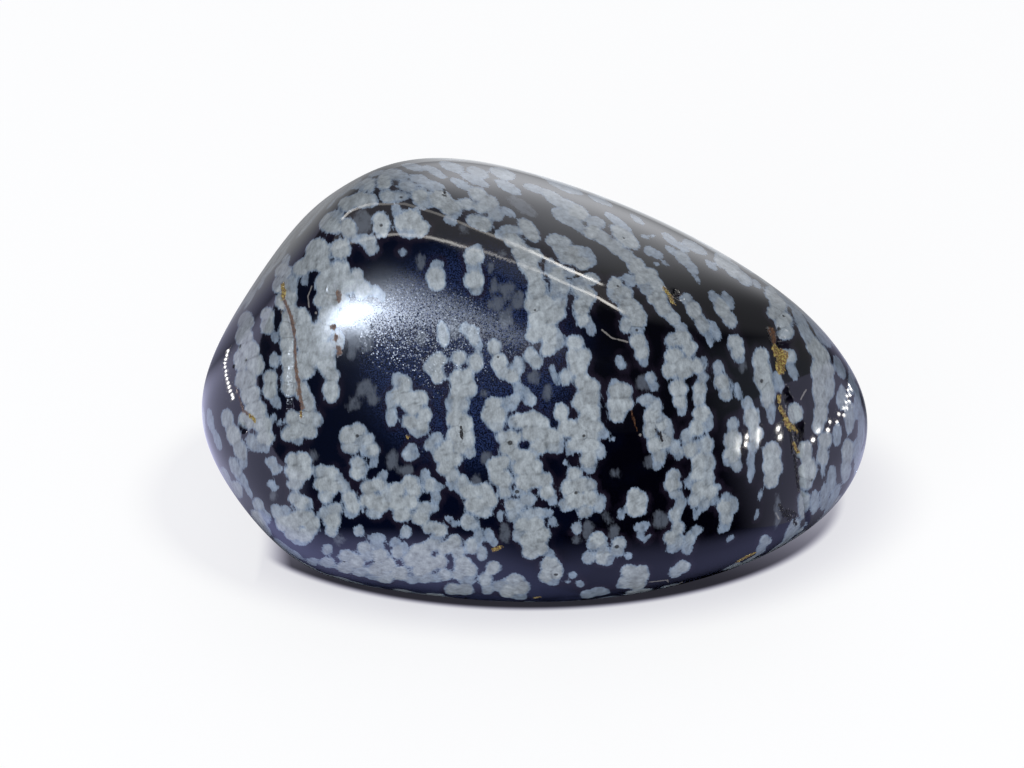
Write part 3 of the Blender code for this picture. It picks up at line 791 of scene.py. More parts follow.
def cube_sphere(cells):
    """A cube blown up to a sphere: its points, its quads, and each quad corner's place on a map."""
    steps = np.tan(np.linspace(-1.0, 1.0, cells + 1) * math.pi / 4.0)
    shares = UV_MARGIN + (1.0 - 2.0 * UV_MARGIN) * np.linspace(0.0, 1.0, cells + 1)
    across, along = np.meshgrid(steps, steps, indexing="ij")
    map_place = np.stack(np.meshgrid(shares, shares, indexing="ij"), axis=-1)
    numbers = np.arange((cells + 1) ** 2).reshape(cells + 1, cells + 1)
    points = []
    quads = []
    maps = []
    for side, (facing, right) in enumerate(CUBE_SIDES):
        facing = np.array(facing, dtype=float)
        right = np.array(right, dtype=float)
        grid = facing + across[..., None] * right + along[..., None] * np.cross(facing, right)
        points.append(grid.reshape(-1, 3))
        corners = [numbers[:-1, :-1], numbers[1:, :-1], numbers[1:, 1:], numbers[:-1, 1:]]
        quads.append(np.stack(corners, axis=-1).reshape(-1, 4) + side * numbers.size)
        maps.append(((map_place + (side % 3, side // 3)) / (3.0, 2.0)).reshape(-1, 2))
    points = np.concatenate(points)
    quads = np.concatenate(quads)
    keys = np.round(points / SEAM_MERGE).astype(np.int64)
    _, first, number = np.unique(keys, axis=0, return_index=True, return_inverse=True)
    return points[first], number.reshape(-1)[quads], np.concatenate(maps)[quads]


def point_array(mesh):
    """Positions of a mesh's points."""
    points = np.empty(len(mesh.vertices) * 3, dtype=np.float32)
    mesh.vertices.foreach_get("co", points)
    return points.reshape(-1, 3).astype(float)


def set_points(mesh, points):
    """Moves a mesh's points to the given positions."""
    mesh.vertices.foreach_set("co", points.astype(np.float32).ravel())
    mesh.update()


def refine_near(mesh, paths, reach):
    """Halves the edges of a mesh that lie within reach of a mark."""
    points = point_array(mesh)
    gap = np.min([distance_to_path(points, path) for path in paths], axis=0)
    fine = bmesh.new()
    fine.from_mesh(mesh)
    near = gap < reach
    edges = [edge for edge in fine.edges if near[edge.verts[0].index] or near[edge.verts[1].index]]
    bmesh.ops.subdivide_edges(fine, edges=edges, cuts=1, use_grid_fill=True)
    fine.to_mesh(mesh)
    fine.free()
    set_points(mesh, on_surface(point_array(mesh)))


def ragged(points, size):
    """A rough value from -1 to 1 at each point, with lumps of the given size in mm."""
    return np.array([noise.noise(Vector(point / size)) for point in points])


def sink_openings(points, paths):
    """Presses the cracks, hollows and pits into the surface, with rough walls."""
    inward = -points / np.linalg.norm(points, axis=1)[:, None]
    sunk = points.copy()
    for (_, half_width, depth, _), path in zip(OPENINGS, paths):
        gap = distance_to_path(points, path)
        near = np.flatnonzero(gap < half_width * (1.0 + RAGGED_EDGE))
        edge = half_width * (1.0 + RAGGED_EDGE * ragged(points[near], RAGGED_SIZES[0]))
        share = smooth_step(0.0, 1.0, 1.0 - gap[near] / edge)
        press = depth * share * (1.0 + RAGGED_FLOOR * ragged(points[near], RAGGED_SIZES[1]))
        sunk[near] += inward[near] * press[:, None]
    pinholes = PINHOLE_DEPTH * smooth_step(*PINHOLE_SINKS, pinhole_field(points))
    return sunk + inward * pinholes[:, None]


def stone_mesh(settings):
    """The fine mesh of the stone, in mm from its heart, before its marks are pressed in."""
    cube, quads, maps = cube_sphere(settings.cells)
    sphere = cube / np.linalg.norm(cube, axis=1)[:, None]
    starts = HALF_SIZES * sphere + TOWARDS_EYE * HALF_SIZES.min() * SHOW_EYE
    mesh = bpy.data.meshes.new("stone")
    mesh.from_pydata(on_surface(starts).tolist(), [], quads.tolist())
    mesh.uv_layers.new(name="OFBake").data.foreach_set("uv", maps.astype(np.float32).ravel())
    return mesh


def place_in_frame(points):
    """Stands the foot on the floor with the middle of the stone's box over the origin, in metres."""
    level = points[:, 2].min() + FOOT_WEAR
    low = points.min(axis=0)
    high = points.max(axis=0)
    origin = np.array([(low[0] + high[0]) / 2.0, (low[1] + high[1]) / 2.0, level])
    worn = points.copy()
    worn[:, 2] = np.maximum(worn[:, 2], level)
    return (worn - origin) * MM, -origin * MM


def new_object(name, data):
    """A new object in the scene."""
    thing = bpy.data.objects.new(name, data)
    bpy.context.scene.collection.objects.link(thing)
    return thing


def store(mesh, fields):
    """Keeps each field as an attribute of the mesh's points."""
    for name, values in fields.items():
        attribute = mesh.attributes.new(name, "FLOAT", "POINT")
        attribute.data.foreach_set("value", values.astype(np.float32))


def stone_object(settings):
    """The whole stone with its marks, as one object in the frame."""
    paths = [seen_from_front(opening[3]) for opening in OPENINGS]
    marks = paths + [seen_in_picture(stain[1]) for kind in STAINS for stain in STAINS[kind]]
    marks += [seen_in_picture([hole[:2]]) for hole in PINHOLES]
    mesh = stone_mesh(settings)
    for reach in FINER_WITHIN:
        refine_near(mesh, marks, reach)
    points = point_array(mesh)
    tree = point_tree(points)
    shown = picture_lobes(FLAKES)
    hidden = hidden_lobes(points, outward(points), settings)
    lobes = [np.concatenate(pair) for pair in zip(shown, hidden)]
    flake, seam, tone, thin = lobe_fields(points, tree, lobes, settings.seed)
    sunken, _, _, _ = lobe_fields(points, tree, picture_lobes(SUNKEN_FLAKES), settings.seed)
    fields = {"flake": flake, "seam": seam, "tone": tone, "thin": thin, "sunken": sunken}
    fields["pinhole"] = pinhole_field(points)
    scuff_gap = np.linalg.norm(points - seen_in_picture([SCUFFED_AT])[0], axis=1)
    fields["scuff"] = smooth_step(SCUFF_FADE[1], SCUFF_FADE[0], scuff_gap)
    for kind in STAIN_EDGES:
        fields[kind] = stain_field(points, kind)
    store(mesh, fields)
    placed, heart = place_in_frame(sink_openings(points, paths))
    set_points(mesh, placed)
    mesh.shade_smooth()
    stone = new_object("tumbled_stone", mesh)
    stone["heart"] = heart.tolist()
    return stone


def give(tree, node, inputs):
    """Gives a node's inputs their links or values."""
    for name, value in inputs.items():
        if isinstance(value, bpy.types.NodeSocket):
            tree.links.new(value, node.inputs[name])
        else:
            node.inputs[name].default_value = value


def put(tree, kind, inputs=None, **settings):
    """Adds a node with its own settings, and gives its inputs values or links."""
    node = tree.nodes.new(kind)
    for name, value in settings.items():
        setattr(node, name, value)
    give(tree, node, inputs or {})
    return node


def maths(tree, operation, first, second=0.0):
    """One sum on values."""
    return put(tree, "ShaderNodeMath", {0: first, 1: second}, operation=operation).outputs[0]


def chain(tree, operation, values):
    """The same sum done on one value after another."""
    result = values[0]
    for value in values[1:]:
        result = maths(tree, operation, result, value)
    return result


def product(tree, *values):
    """Values multiplied together."""
    return chain(tree, "MULTIPLY", values)


def total(tree, *values):
    """Values added together."""
    return chain(tree, "ADD", values)


def greatest(tree, *values):
    """The greatest of some values."""
    return chain(tree, "MAXIMUM", values)


def vector_maths(tree, operation, first, second=(0.0, 0.0, 0.0)):
    """One sum on vectors: a value for a length or a dot product, and a vector for the others."""
    node = put(tree, "ShaderNodeVectorMath", {0: first, 1: second}, operation=operation)
    return node.outputs["Value" if operation in ("LENGTH", "DOT_PRODUCT") else "Vector"]


def parts(tree, vector):
    """The X, Y and Z of a vector."""
    return put(tree, "ShaderNodeSeparateXYZ", {0: vector}).outputs


def object_place(tree):
    """Where a point of the piece is in the frame, in metres."""
    return put(tree, "ShaderNodeTexCoord").outputs["Object"]


def between(tree, share, first, second):
    """A value between two others, by a share."""
    return put(tree, "ShaderNodeMix", {0: share, 2: first, 3: second}, data_type="FLOAT").outputs[0]


def spread(tree, value, low, high, to_low=0.0, to_high=1.0):
    """A smooth rise of a value from low to high, spread over another range."""
    inputs = {"Value": value, "From Min": low, "From Max": high, "To Min": to_low, "To Max": to_high}
    return put(tree, "ShaderNodeMapRange", inputs, interpolation_type="SMOOTHSTEP").outputs[0]


def opaque(colour):
    """A plain colour with its opacity, or a link as it is."""
    return colour if isinstance(colour, bpy.types.NodeSocket) else (*colour, 1.0)


def blend(tree, share, first, second, way="MIX"):
    """Two colours blended by a share."""
    inputs = {0: share, 6: opaque(first), 7: opaque(second)}
    return put(tree, "ShaderNodeMix", inputs, data_type="RGBA", blend_type=way).outputs[2]


def cloud(tree, place, size, detail=2.0, roughness=0.55):
    """Soft noise with lumps of the given size in mm."""
    inputs = {"Vector": place, "Scale": 1.0 / (size * MM), "Detail": detail, "Roughness": roughness}
    return put(tree, "ShaderNodeTexNoise", inputs).outputs["Fac"]


def field(tree, name):
    """A field stored on the mesh's points."""
    return put(tree, "ShaderNodeAttribute", attribute_name=name).outputs["Fac"]


def effect_group(name, inputs, outputs):
    """A node group with its inputs' defaults, or None for a place, and the names of its outputs."""
    group = bpy.data.node_groups.new(name, "ShaderNodeTree")
    for socket_name, default in inputs.items():
        kind = "NodeSocketVector" if default is None else "NodeSocketFloat"
        socket = group.interface.new_socket(socket_name, in_out="INPUT", socket_type=kind)
        if default is not None:
            socket.default_value = default
    for socket_name in outputs:
        group.interface.new_socket(socket_name, in_out="OUTPUT", socket_type="NodeSocketFloat")
    return group, group.nodes.new("NodeGroupInput").outputs, group.nodes.new("NodeGroupOutput").inputs


def crystal_noise_group():
    """Noises that every crystal edge shares: round lobes and fine wisps, both round 0."""
    group, given, result = effect_group(
        "crystal_noise", {"Vector": None, "Lobe Size": 0.4, "Wisp Size": 0.12}, ["Lobes", "Wisps"])
    lobes_per_metre = maths(group, "DIVIDE", 1.0 / MM, given["Lobe Size"])
    wisps_per_metre = maths(group, "DIVIDE", 1.0 / MM, given["Wisp Size"])
    cells = put(group, "ShaderNodeTexVoronoi", {"Vector": given["Vector"], "Scale": lobes_per_metre})
    drawn_out = vector_maths(group, "MULTIPLY", given["Vector"], (1.0, 1.0, 0.4))
    wisps = put(group, "ShaderNodeTexNoise", {
        "Vector": drawn_out, "Scale": wisps_per_metre, "Detail": 2.0, "Roughness": 0.65})
    group.links.new(maths(group, "SUBTRACT", 0.45, cells.outputs["Distance"]), result["Lobes"])
    group.links.new(maths(group, "SUBTRACT", wisps.outputs["Fac"], 0.5), result["Wisps"])
    return group


def frayed_edge_group():
    """Turns a smooth distance inside an edge into the lobed, frayed edge of grown crystals."""
    group, given, result = effect_group(
        "frayed_edge",
        {"Distance": 0.0, "Lobes": 0.0, "Wisps": 0.0, "Lobe Depth": 0.3, "Fray": 0.2, "Softness": 0.03},
        ["Mask", "Depth"])
    bulge = product(group, given["Lobes"], given["Lobe Depth"])
    frayed = product(group, given["Wisps"], given["Fray"])
    depth = total(group, given["Distance"], total(group, bulge, frayed))
    soft = given["Softness"]
    group.links.new(spread(group, depth, product(group, soft, -1.0), soft), result["Mask"])
    group.links.new(depth, result["Depth"])
    return group


def crystal_grain_group():
    """A value round 1 that varies as fine crystal does: streaked, mottled and finely grained."""
    group, given, result = effect_group(
        "crystal_grain", {"Vector": None, "Streaks": 0.8, "Mottling": 0.6, "Grain": 0.5}, ["Value"])
    drawn_out = vector_maths(group, "MULTIPLY", given["Vector"], (1.0, 1.0, 0.3))
    value = 1.0
    for place, size, strength in (
            (drawn_out, 0.2, given["Streaks"]),
            (given["Vector"], 0.42, given["Mottling"]),
            (given["Vector"], 0.11, given["Grain"])):
        varied = maths(group, "SUBTRACT", cloud(group, place, size, 1.0), 0.5)
        value = total(group, value, product(group, varied, strength))
    group.links.new(value, result["Value"])
    return group


def micro_relief_group():
    """Height, in metres, of the tiny pits and ripples that a tumbler leaves in polished glass."""
    group, given, result = effect_group(
        "micro_relief",
        {"Vector": None, "Pit Size": 0.1, "Pit Depth": 0.001, "Ripple Depth": 0.004}, ["Height"])
    per_metre = maths(group, "DIVIDE", 1.0 / MM, given["Pit Size"])
    pits = put(group, "ShaderNodeTexNoise", {
        "Vector": given["Vector"], "Scale": per_metre, "Detail": 1.0})
    pitted = product(group, pits.outputs["Fac"], given["Pit Depth"])
    rippled = product(group, cloud(group, given["Vector"], 2.2, 1.0), given["Ripple Depth"])
    group.links.new(product(group, total(group, pitted, rippled), MM), result["Height"])
    return group


def use_group(tree, group, inputs):
    """Places a node group with its own values."""
    return put(tree, "ShaderNodeGroup", inputs, node_tree=group).outputs


def new_material(name):
    """An empty material: its node tree and its Principled shader."""
    material = bpy.data.materials.new(name)
    material.use_nodes = True
    tree = material.node_tree
    return material, tree, tree.nodes["Principled BSDF"]


def flow_coordinates(tree):
    """Object coordinates turned to the flow and drawn out along it."""
    turn = Vector(FLOW).to_track_quat("Z", "Y").inverted().to_euler()
    inputs = {"Vector": object_place(tree), "Rotation": turn, "Scale": (1.0, 1.0, FLOW_SQUEEZE)}
    return put(tree, "ShaderNodeMapping", inputs, vector_type="POINT").outputs[0]


def glass_body(tree, finish, place, flake_depth):
    """Colour of the glass between the snowflakes: black, navy to the left, smoky round them,
    with painted light: lighter at the low edge and a blue speckled sheen where it is scuffed.
    """
    side = parts(tree, place)
    drift = cloud(tree, place, DRIFT_SIZE)
    waver = product(tree, maths(tree, "SUBTRACT", drift, 0.5), NAVY_WAVER)
    navy = spread(tree, total(tree, side["X"], waver), *NAVY_REACH)
    glass = blend(tree, navy, finish.glass_colour, finish.navy_colour)
    # Painted light: the glass is made lighter and bluer near the bottom, standing in for light that comes
    # through the thin low edge.
    lets_light_in = total(tree, product(tree, navy, 0.75), 0.25)
    low = product(tree, spread(tree, side["Z"], *LOW_EDGE), lets_light_in)
    glass = blend(tree, low, glass, finish.painted_edge_light_colour)
    # Painted sheen: the scuffed glass is tinted blue in fine specks, standing in for light that its tiny
    # pits scatter round the highlight; the scuffs themselves tip the normal.
    speckled = spread(tree, cloud(tree, place, SPECKLE_SIZE, 1.0), 0.35, 0.7)
    scuffed = product(tree, spread(tree, field(tree, "scuff"), 0.0, 0.6), speckled)
    glass = blend(tree, scuffed, glass, finish.scuff_sheen_colour)
    halo = product(tree, spread(tree, flake_depth, *SMOKE_REACH), spread(tree, drift, 0.4, 0.62))
    return blend(tree, product(tree, halo, SMOKE_STRENGTH), glass, finish.smoke_colour)


def glinting_normal(tree, finish, place):
    """The surface's normal, tipped at random from one tiny facet to the next where it is scuffed."""
    facets = put(tree, "ShaderNodeTexVoronoi", {"Vector": place, "Scale": 1.0 / finish.glint_size})
    random = vector_maths(tree, "SUBTRACT", facets.outputs["Color"], (0.5, 0.5, 0.5))
    rising = maths(tree, "POWER", field(tree, "scuff"), SCUFF_RISE)
    rare = put(tree, "ShaderNodeTexWhiteNoise", {"Vector": facets.outputs["Position"]}).outputs["Value"]
    tilt = product(tree, rising, finish.glint_tilt, maths(tree, "POWER", rare, GLINT_RARITY))
    tipped = put(tree, "ShaderNodeVectorMath", {0: random, "Scale": tilt}, operation="SCALE").outputs[0]
    normal = put(tree, "ShaderNodeNewGeometry").outputs["Normal"]
    return vector_maths(tree, "NORMALIZE", vector_maths(tree, "ADD", normal, tipped))


def crystal_colour(tree, finish, edge, lobes, grain):
    """Colour of the snowflakes: a pale core, a thin blue rim, and dark seams between the lobes."""
    core = spread(tree, edge["Depth"], 0.0, finish.rim_width / MM)
    shallow = maths(tree, "SUBTRACT", 1.0, product(tree, field(tree, "thin"), THIN_DIMMED))
    crystal = blend(tree, product(tree, core, shallow), finish.rim_colour, finish.flake_colour)
    uneven = total(tree, product(tree, field(tree, "tone"), TONE_CHANGE),
                   product(tree, lobes, LOBE_CHANGE))
    uneven = maths(tree, "SUBTRACT", uneven, product(tree, field(tree, "seam"), SEAM_CHANGE))
    value = product(tree, grain, total(tree, 1.0, uneven))
    return blend(tree, 1.0, crystal, value, "MULTIPLY")


def stain_masks(tree, effects, wisps):
    """Where each kind of stain shows, and where the pinholes do."""
    masks = {}
    for kind, (softness, fray) in STAIN_EDGES.items():
        masks[kind] = use_group(tree, effects["frayed_edge"], {
            "Distance": field(tree, kind), "Wisps": wisps, "Lobe Depth": 0.0,
            "Fray": fray, "Softness": softness})["Mask"]
    masks["hole"] = spread(tree, field(tree, "pinhole"), *PINHOLE_SHOWS)
    return masks


def stained_colour(tree, finish, colour, masks, crumbs):
    """The polished colour with the stains, the pale marks with their painted glints, and the pinholes
    laid over it, one kind after another.
    """
    rust = blend(tree, crumbs, finish.dark_rust_colour, finish.rust_colour)
    ochre = blend(tree, crumbs, finish.rust_colour, finish.ochre_colour)
    for kind, strength, stain in (
            ("dark", 0.95, DARK_COLOUR), ("rust", 0.85, rust), ("ochre", 1.0, ochre),
            ("pale", 0.35, PALE_MARK_AND_GLINT_COLOUR), ("hole", 0.85, HOLE_COLOUR)):
        colour = blend(tree, product(tree, masks[kind], strength), colour, stain)
    return colour


def stone_roughness(tree, finish, masks, flake):
    """Polished glass, crystal that is a little duller, and broken glass in stains and pinholes."""
    rusty = product(tree, masks["rust"], 0.7)
    broken = greatest(tree, masks["ochre"], masks["dark"], masks["hole"], rusty)
    duller = product(tree, flake, finish.flake_roughness - finish.glass_roughness)
    return total(tree, finish.glass_roughness, duller, product(tree, broken, BROKEN_ROUGHNESS))


def stone_relief(tree, finish, effects, place, crumbs):
    """Height, in metres, of the tiny pits in the polish and of the crumbly stains."""
    relief = use_group(tree, effects["micro_relief"], {
        "Vector": place, "Pit Size": finish.pit_size / MM, "Pit Depth": finish.pit_depth / MM,
        "Ripple Depth": 0.003})["Height"]
    crumbly = spread(tree, greatest(tree, field(tree, "ochre"), field(tree, "dark")), *CRUMB_REACH)
    return total(tree, relief, product(tree, crumbs, crumbly, CRUMB_DEPTH))


def stone_material(finish, effects):
    """Black glass with its snowflakes, stains and polish."""
    material, tree, shader = new_material("polished_stone")
    place = object_place(tree)
    flow = flow_coordinates(tree)
    noises = use_group(tree, effects["crystal_noise"], {
        "Vector": flow, "Lobe Size": finish.lobe_size / MM, "Wisp Size": 0.15})
    noisy = {"Lobes": noises["Lobes"], "Wisps": noises["Wisps"]}
    edge = use_group(tree, effects["frayed_edge"], {
        **noisy, "Distance": field(tree, "flake"), "Lobe Depth": finish.lobe_depth / MM,
        "Fray": 0.34, "Softness": 0.055})
    sunken = use_group(tree, effects["frayed_edge"], {
        **noisy, "Distance": field(tree, "sunken"), "Lobe Depth": 0.3, "Fray": 0.45, "Softness": 0.17})
    grain = use_group(tree, effects["crystal_grain"], {
        "Vector": flow, "Streaks": 0.4, "Mottling": 0.85, "Grain": 0.55})["Value"]
    glass = glass_body(tree, finish, place, edge["Depth"])
    veiled = product(tree, spread(tree, grain, 0.3, 1.15), finish.sunken_strength)
    glass = blend(tree, product(tree, sunken["Mask"], veiled), glass, finish.sunken_colour)
    crystal = crystal_colour(tree, finish, edge, noises["Lobes"], grain)
    crumbs = spread(tree, cloud(tree, place, CRUMB_SIZE), 0.36, 0.62)
    masks = stain_masks(tree, effects, noises["Wisps"])
    polished = blend(tree, edge["Mask"], glass, crystal)
    bump = put(tree, "ShaderNodeBump", {
        "Height": stone_relief(tree, finish, effects, place, crumbs), "Strength": 1.0, "Distance": 1.0,
        "Normal": glinting_normal(tree, finish, place)})
    give(tree, shader, {
        "Base Color": stained_colour(tree, finish, polished, masks, crumbs),
        "Roughness": stone_roughness(tree, finish, masks, edge["Mask"]),
        "Normal": bump.outputs[0], "Metallic": 0.0, "IOR": finish.glass_ior})
    return material


def grain_material(name, light, dark, roughness, effects):
    """Small broken crystals: mottled between two colours."""
    material, tree, shader = new_material(name)
    place = object_place(tree)
    grain = use_group(tree, effects["crystal_grain"], {
        "Vector": place, "Streaks": 0.6, "Mottling": 0.8, "Grain": 1.2})["Value"]
    share = spread(tree, cloud(tree, place, 0.25), 0.38, 0.6)
    relief = use_group(tree, effects["micro_relief"], {
        "Vector": place, "Pit Size": 0.05, "Pit Depth": 0.004, "Ripple Depth": 0.0})["Height"]
    bump = put(tree, "ShaderNodeBump", {"Height": relief, "Strength": 1.0, "Distance": 1.0})
    give(tree, shader, {
        "Base Color": blend(tree, 1.0, blend(tree, share, dark, light), grain, "MULTIPLY"),
        "Roughness": product(tree, grain, roughness), "Normal": bump.outputs[0], "IOR": QUARTZ_IOR})
    return material


def grain_tree(material):
    """Geometry nodes that scatter small broken grains over the faces they are given."""
    tree = bpy.data.node_groups.new("scatter_grains", "GeometryNodeTree")
    for name, kind in (("Geometry", "NodeSocketGeometry"), ("Grain Size", "NodeSocketFloat"),
                       ("Grains per Square Metre", "NodeSocketFloat"), ("Seed", "NodeSocketInt")):
        tree.interface.new_socket(name, in_out="INPUT", socket_type=kind)
    tree.interface.new_socket("Geometry", in_out="OUTPUT", socket_type="NodeSocketGeometry")
    given = tree.nodes.new("NodeGroupInput").outputs
    spots = put(tree, "GeometryNodeDistributePointsOnFaces", {
        "Mesh": given["Geometry"], "Density": given["Grains per Square Metre"], "Seed": given["Seed"]})
    lump = put(tree, "GeometryNodeMeshIcoSphere", {"Radius": given["Grain Size"], "Subdivisions": 1})
    least, most = GRAIN_SHAPES
    full_turn = (math.tau, math.tau, math.tau)
    size = put(tree, "FunctionNodeRandomValue", {"Min": least, "Max": most, "Seed": given["Seed"]},
               data_type="FLOAT_VECTOR")
    turn = put(tree, "FunctionNodeRandomValue", {"Max": full_turn, "Seed": given["Seed"]},
               data_type="FLOAT_VECTOR")
    grains = put(tree, "GeometryNodeInstanceOnPoints", {
        "Points": spots.outputs["Points"], "Instance": lump.outputs["Mesh"],
        "Rotation": turn.outputs["Value"], "Scale": size.outputs["Value"]})
    real = put(tree, "GeometryNodeRealizeInstances", {"Geometry": grains.outputs["Instances"]})
    painted = put(tree, "GeometryNodeSetMaterial", {
        "Geometry": real.outputs["Geometry"], "Material": material})
    give(tree, tree.nodes.new("NodeGroupOutput"), {"Geometry": painted.outputs["Geometry"]})
    return tree


def faces_where(stone, name):
    """The faces of the stone that lie wholly inside the stains of one kind."""
    mesh = stone.data
    values = np.empty(len(mesh.vertices), dtype=np.float32)
    mesh.attributes[name].data.foreach_get("value", values)
    keep = values > GRAIN_LEVEL
    faces = [face.vertices[:] for face in mesh.polygons if all(keep[index] for index in face.vertices)]
    patch = bpy.data.meshes.new("patch")
    patch.from_pydata(point_array(mesh).tolist(), [], faces)
    return patch


def scatter_grains(stone, name, kind, material, grain_size, density, seed):
    """A piece of loose-looking grains fixed in the stone's stains of one kind."""
    tree = grain_tree(material)
    source = new_object(name + "_bed", faces_where(stone, kind))
    scatter = source.modifiers.new("scatter", "NODES")
    scatter.node_group = tree
    values = {"Grain Size": grain_size, "Grains per Square Metre": density, "Seed": seed}
    for item in tree.interface.items_tree:
        if item.in_out == "INPUT" and item.name in values:
            scatter[item.identifier] = values[item.name]
    bpy.context.view_layer.update()
    evaluated = source.evaluated_get(bpy.context.evaluated_depsgraph_get())
    grains = new_object(name, bpy.data.meshes.new_from_object(evaluated))
    source.modifiers.remove(scatter)
    bpy.data.objects.remove(source, do_unlink=True)
    return grains


def direction(azimuth, elevation):
    """A unit direction: azimuth from the front round to the right, and elevation, in degrees."""
    azimuth = math.radians(azimuth)
    elevation = math.radians(elevation)
    level = math.cos(elevation)
    return Vector((math.sin(azimuth) * level, -math.cos(azimuth) * level, math.sin(elevation)))


def panel_lamp(name, centre, azimuth, elevation, distance, size, radiance):
    """A flat soft lamp that faces the stone and doesn't show in its polish."""
    data = bpy.data.lights.new(name, "AREA")
    data.shape = "RECTANGLE"
    data.size, data.size_y = size
    data.energy = radiance * math.pi * size[0] * size[1]
    lamp = new_object(name, data)
    towards = direction(azimuth, elevation)
    lamp.location = Vector(centre) + towards * distance
    lamp.rotation_euler = towards.to_track_quat("Z", "Y").to_euler()
    lamp.visible_camera = False
    lamp.visible_glossy = False


def soft_patch(tree, towards, azimuth, elevation, half_width, half_height, tilt, radiance):
    """Brightness of a soft round patch of the room, as a window through a blind makes."""
    centre = direction(azimuth, elevation)
    right = Vector((0.0, 0.0, 1.0)).cross(centre).normalized()
    right = Matrix.Rotation(math.radians(tilt), 3, centre) @ right
    squares = []
    for axis, half in ((right, half_width), (centre.cross(right), half_height)):
        along = vector_maths(tree, "DOT_PRODUCT", towards, axis / math.radians(half))
        squares.append(product(tree, along, along))
    ahead = maths(tree, "GREATER_THAN", vector_maths(tree, "DOT_PRODUCT", towards, centre), 0.0)
    shape = maths(tree, "EXPONENT", product(tree, total(tree, *squares), -1.0))
    return product(tree, shape, ahead, radiance)


def mirrored_room(tree, towards, way, studio):
    """Brightness of the room as the polish mirrors it."""
    ceiling = spread(tree, way["Z"], *CEILING_RISE, 0.0, studio.ceiling_light)
    behind = product(tree, spread(tree, way["Y"], *BACKDROP_RISE), studio.backdrop_light)
    sides = product(tree, spread(tree, way["X"], *SIDE_RISE), studio.side_light)
    shade = spread(tree, way["X"], *LEFT_SHADE_RISE, studio.left_shade, 1.0)
    shaded = product(tree, greatest(tree, behind, sides), shade)
    patches = [soft_patch(tree, towards, *patch[1:]) for patch in SOFT_PATCHES]
    return total(tree, greatest(tree, shaded, ceiling, studio.dark_light), *patches)


def studio_world(studio):
    """A pale room: white to look at, soft to be lit by, and darker round the eye in reflections."""
    world = bpy.data.worlds.new("pale_room")
    world.use_nodes = True
    bpy.context.scene.world = world
    tree = world.node_tree
    path = put(tree, "ShaderNodeLightPath").outputs
    towards = put(tree, "ShaderNodeTexCoord").outputs["Generated"]
    way = parts(tree, towards)
    mirrored = product(tree, path["Is Glossy Ray"], mirrored_room(tree, towards, way, studio))
    soft = product(
        tree, spread(tree, way["X"], *LEFT_DIM, studio.left_dimmed, 1.0),
        spread(tree, way["Z"], *TOP_DIM, 1.0, studio.top_dimmed),
        spread(tree, way["X"], *RIGHT_DIM, 1.0, studio.right_dimmed), studio.room_light)
    matt = product(tree, maths(tree, "SUBTRACT", 1.0, path["Is Glossy Ray"]), soft)
    seen = product(tree, path["Is Camera Ray"], SEEN_ROOM)
    room = blend(tree, spread(tree, way["Y"], *WINDOW_TO_ROOM),
                 studio.window_colour, studio.mirrored_room_colour)
    give(tree, tree.nodes["Background"], {
        "Strength": greatest(tree, total(tree, mirrored, matt), seen),
        "Color": blend(tree, path["Is Glossy Ray"], WHITE, room)})


def oval_reach(tree, place, half_sizes):
    """How far a place on the floor is from the middle, as a part of an oval's half size."""
    scale = [1.0 / half for half in half_sizes] + [0.0]
    return vector_maths(tree, "LENGTH", vector_maths(tree, "MULTIPLY", place, scale))


def light_left_by_painted_shadow(tree, place, heart):
    """How much light the painted shadow of the stone leaves on the floor: least in front, under the
    stone.
    """
    middle = (heart[0] + SHADOW_SHIFT[0], heart[1] + SHADOW_SHIFT[1], 0.0)
    reach = oval_reach(tree, vector_maths(tree, "SUBTRACT", place, middle), SHADOW_SIZE)
    away = parts(tree, place)
    back = spread(tree, maths(tree, "SUBTRACT", away["Y"], heart[1]), *SHADOW_BACK)
    side = maths(tree, "SUBTRACT", away["X"], heart[0])
    ends = greatest(tree, spread(tree, side, *SHADOW_LEFT), spread(tree, side, *SHADOW_RIGHT))
    inside = greatest(tree, back, ends)
    rim = greatest(tree, spread(tree, reach, *SHADOW_RIM), inside)
    return between(tree, spread(tree, reach, *SHADOW_EDGE), inside, rim)


def near_glow(tree, away, side, clear, reach):
    """Share of the blue glow of the floor close to the stone: in front of it, and most to the left."""
    beside = product(tree, maths(tree, "ABSOLUTE", side["X"]), NEAR_NARROWED * reach)
    return product(
        tree, spread(tree, maths(tree, "SUBTRACT", away, beside), reach, NEAR_FADE * reach),
        spread(tree, side["X"], *NEAR_SIDE), spread(tree, side["Y"], *NEAR_FRONT),
        spread(tree, clear, *NEAR_CLEAR))


def mirrored_floor(tree, place, studio):
    """Brightness of the mirrored floor, where it is the near blue glow, and where it is white."""
    away = vector_maths(tree, "LENGTH", place)
    side = parts(tree, vector_maths(tree, "NORMALIZE", place))
    clear = oval_reach(tree, place, FOOTPRINT)
    near = near_glow(tree, away, side, clear, studio.mirror_reach)
    left = product(tree, spread(tree, side["X"], *LEFT_SIDE), spread(tree, clear, *LEFT_CLEAR))
    right = product(tree, spread(tree, side["X"], *RIGHT_SIDE), spread(tree, clear, *RIGHT_CLEAR))
    middle = maths(tree, "MINIMUM", spread(tree, side["X"], *BEHIND_LEFT),
                   spread(tree, side["X"], *BEHIND_RIGHT))
    behind = product(tree, middle, spread(tree, side["Y"], *BEHIND))
    far = greatest(tree, product(tree, left, studio.left_mirrored),
                   product(tree, right, studio.right_mirrored),
                   product(tree, behind, studio.back_mirrored))
    glow = product(tree, near, studio.table_mirrored)
    blue = maths(tree, "GREATER_THAN", glow, far)
    return greatest(tree, glow, far), blue, spread(tree, side["Y"], *WHITE_BEHIND)


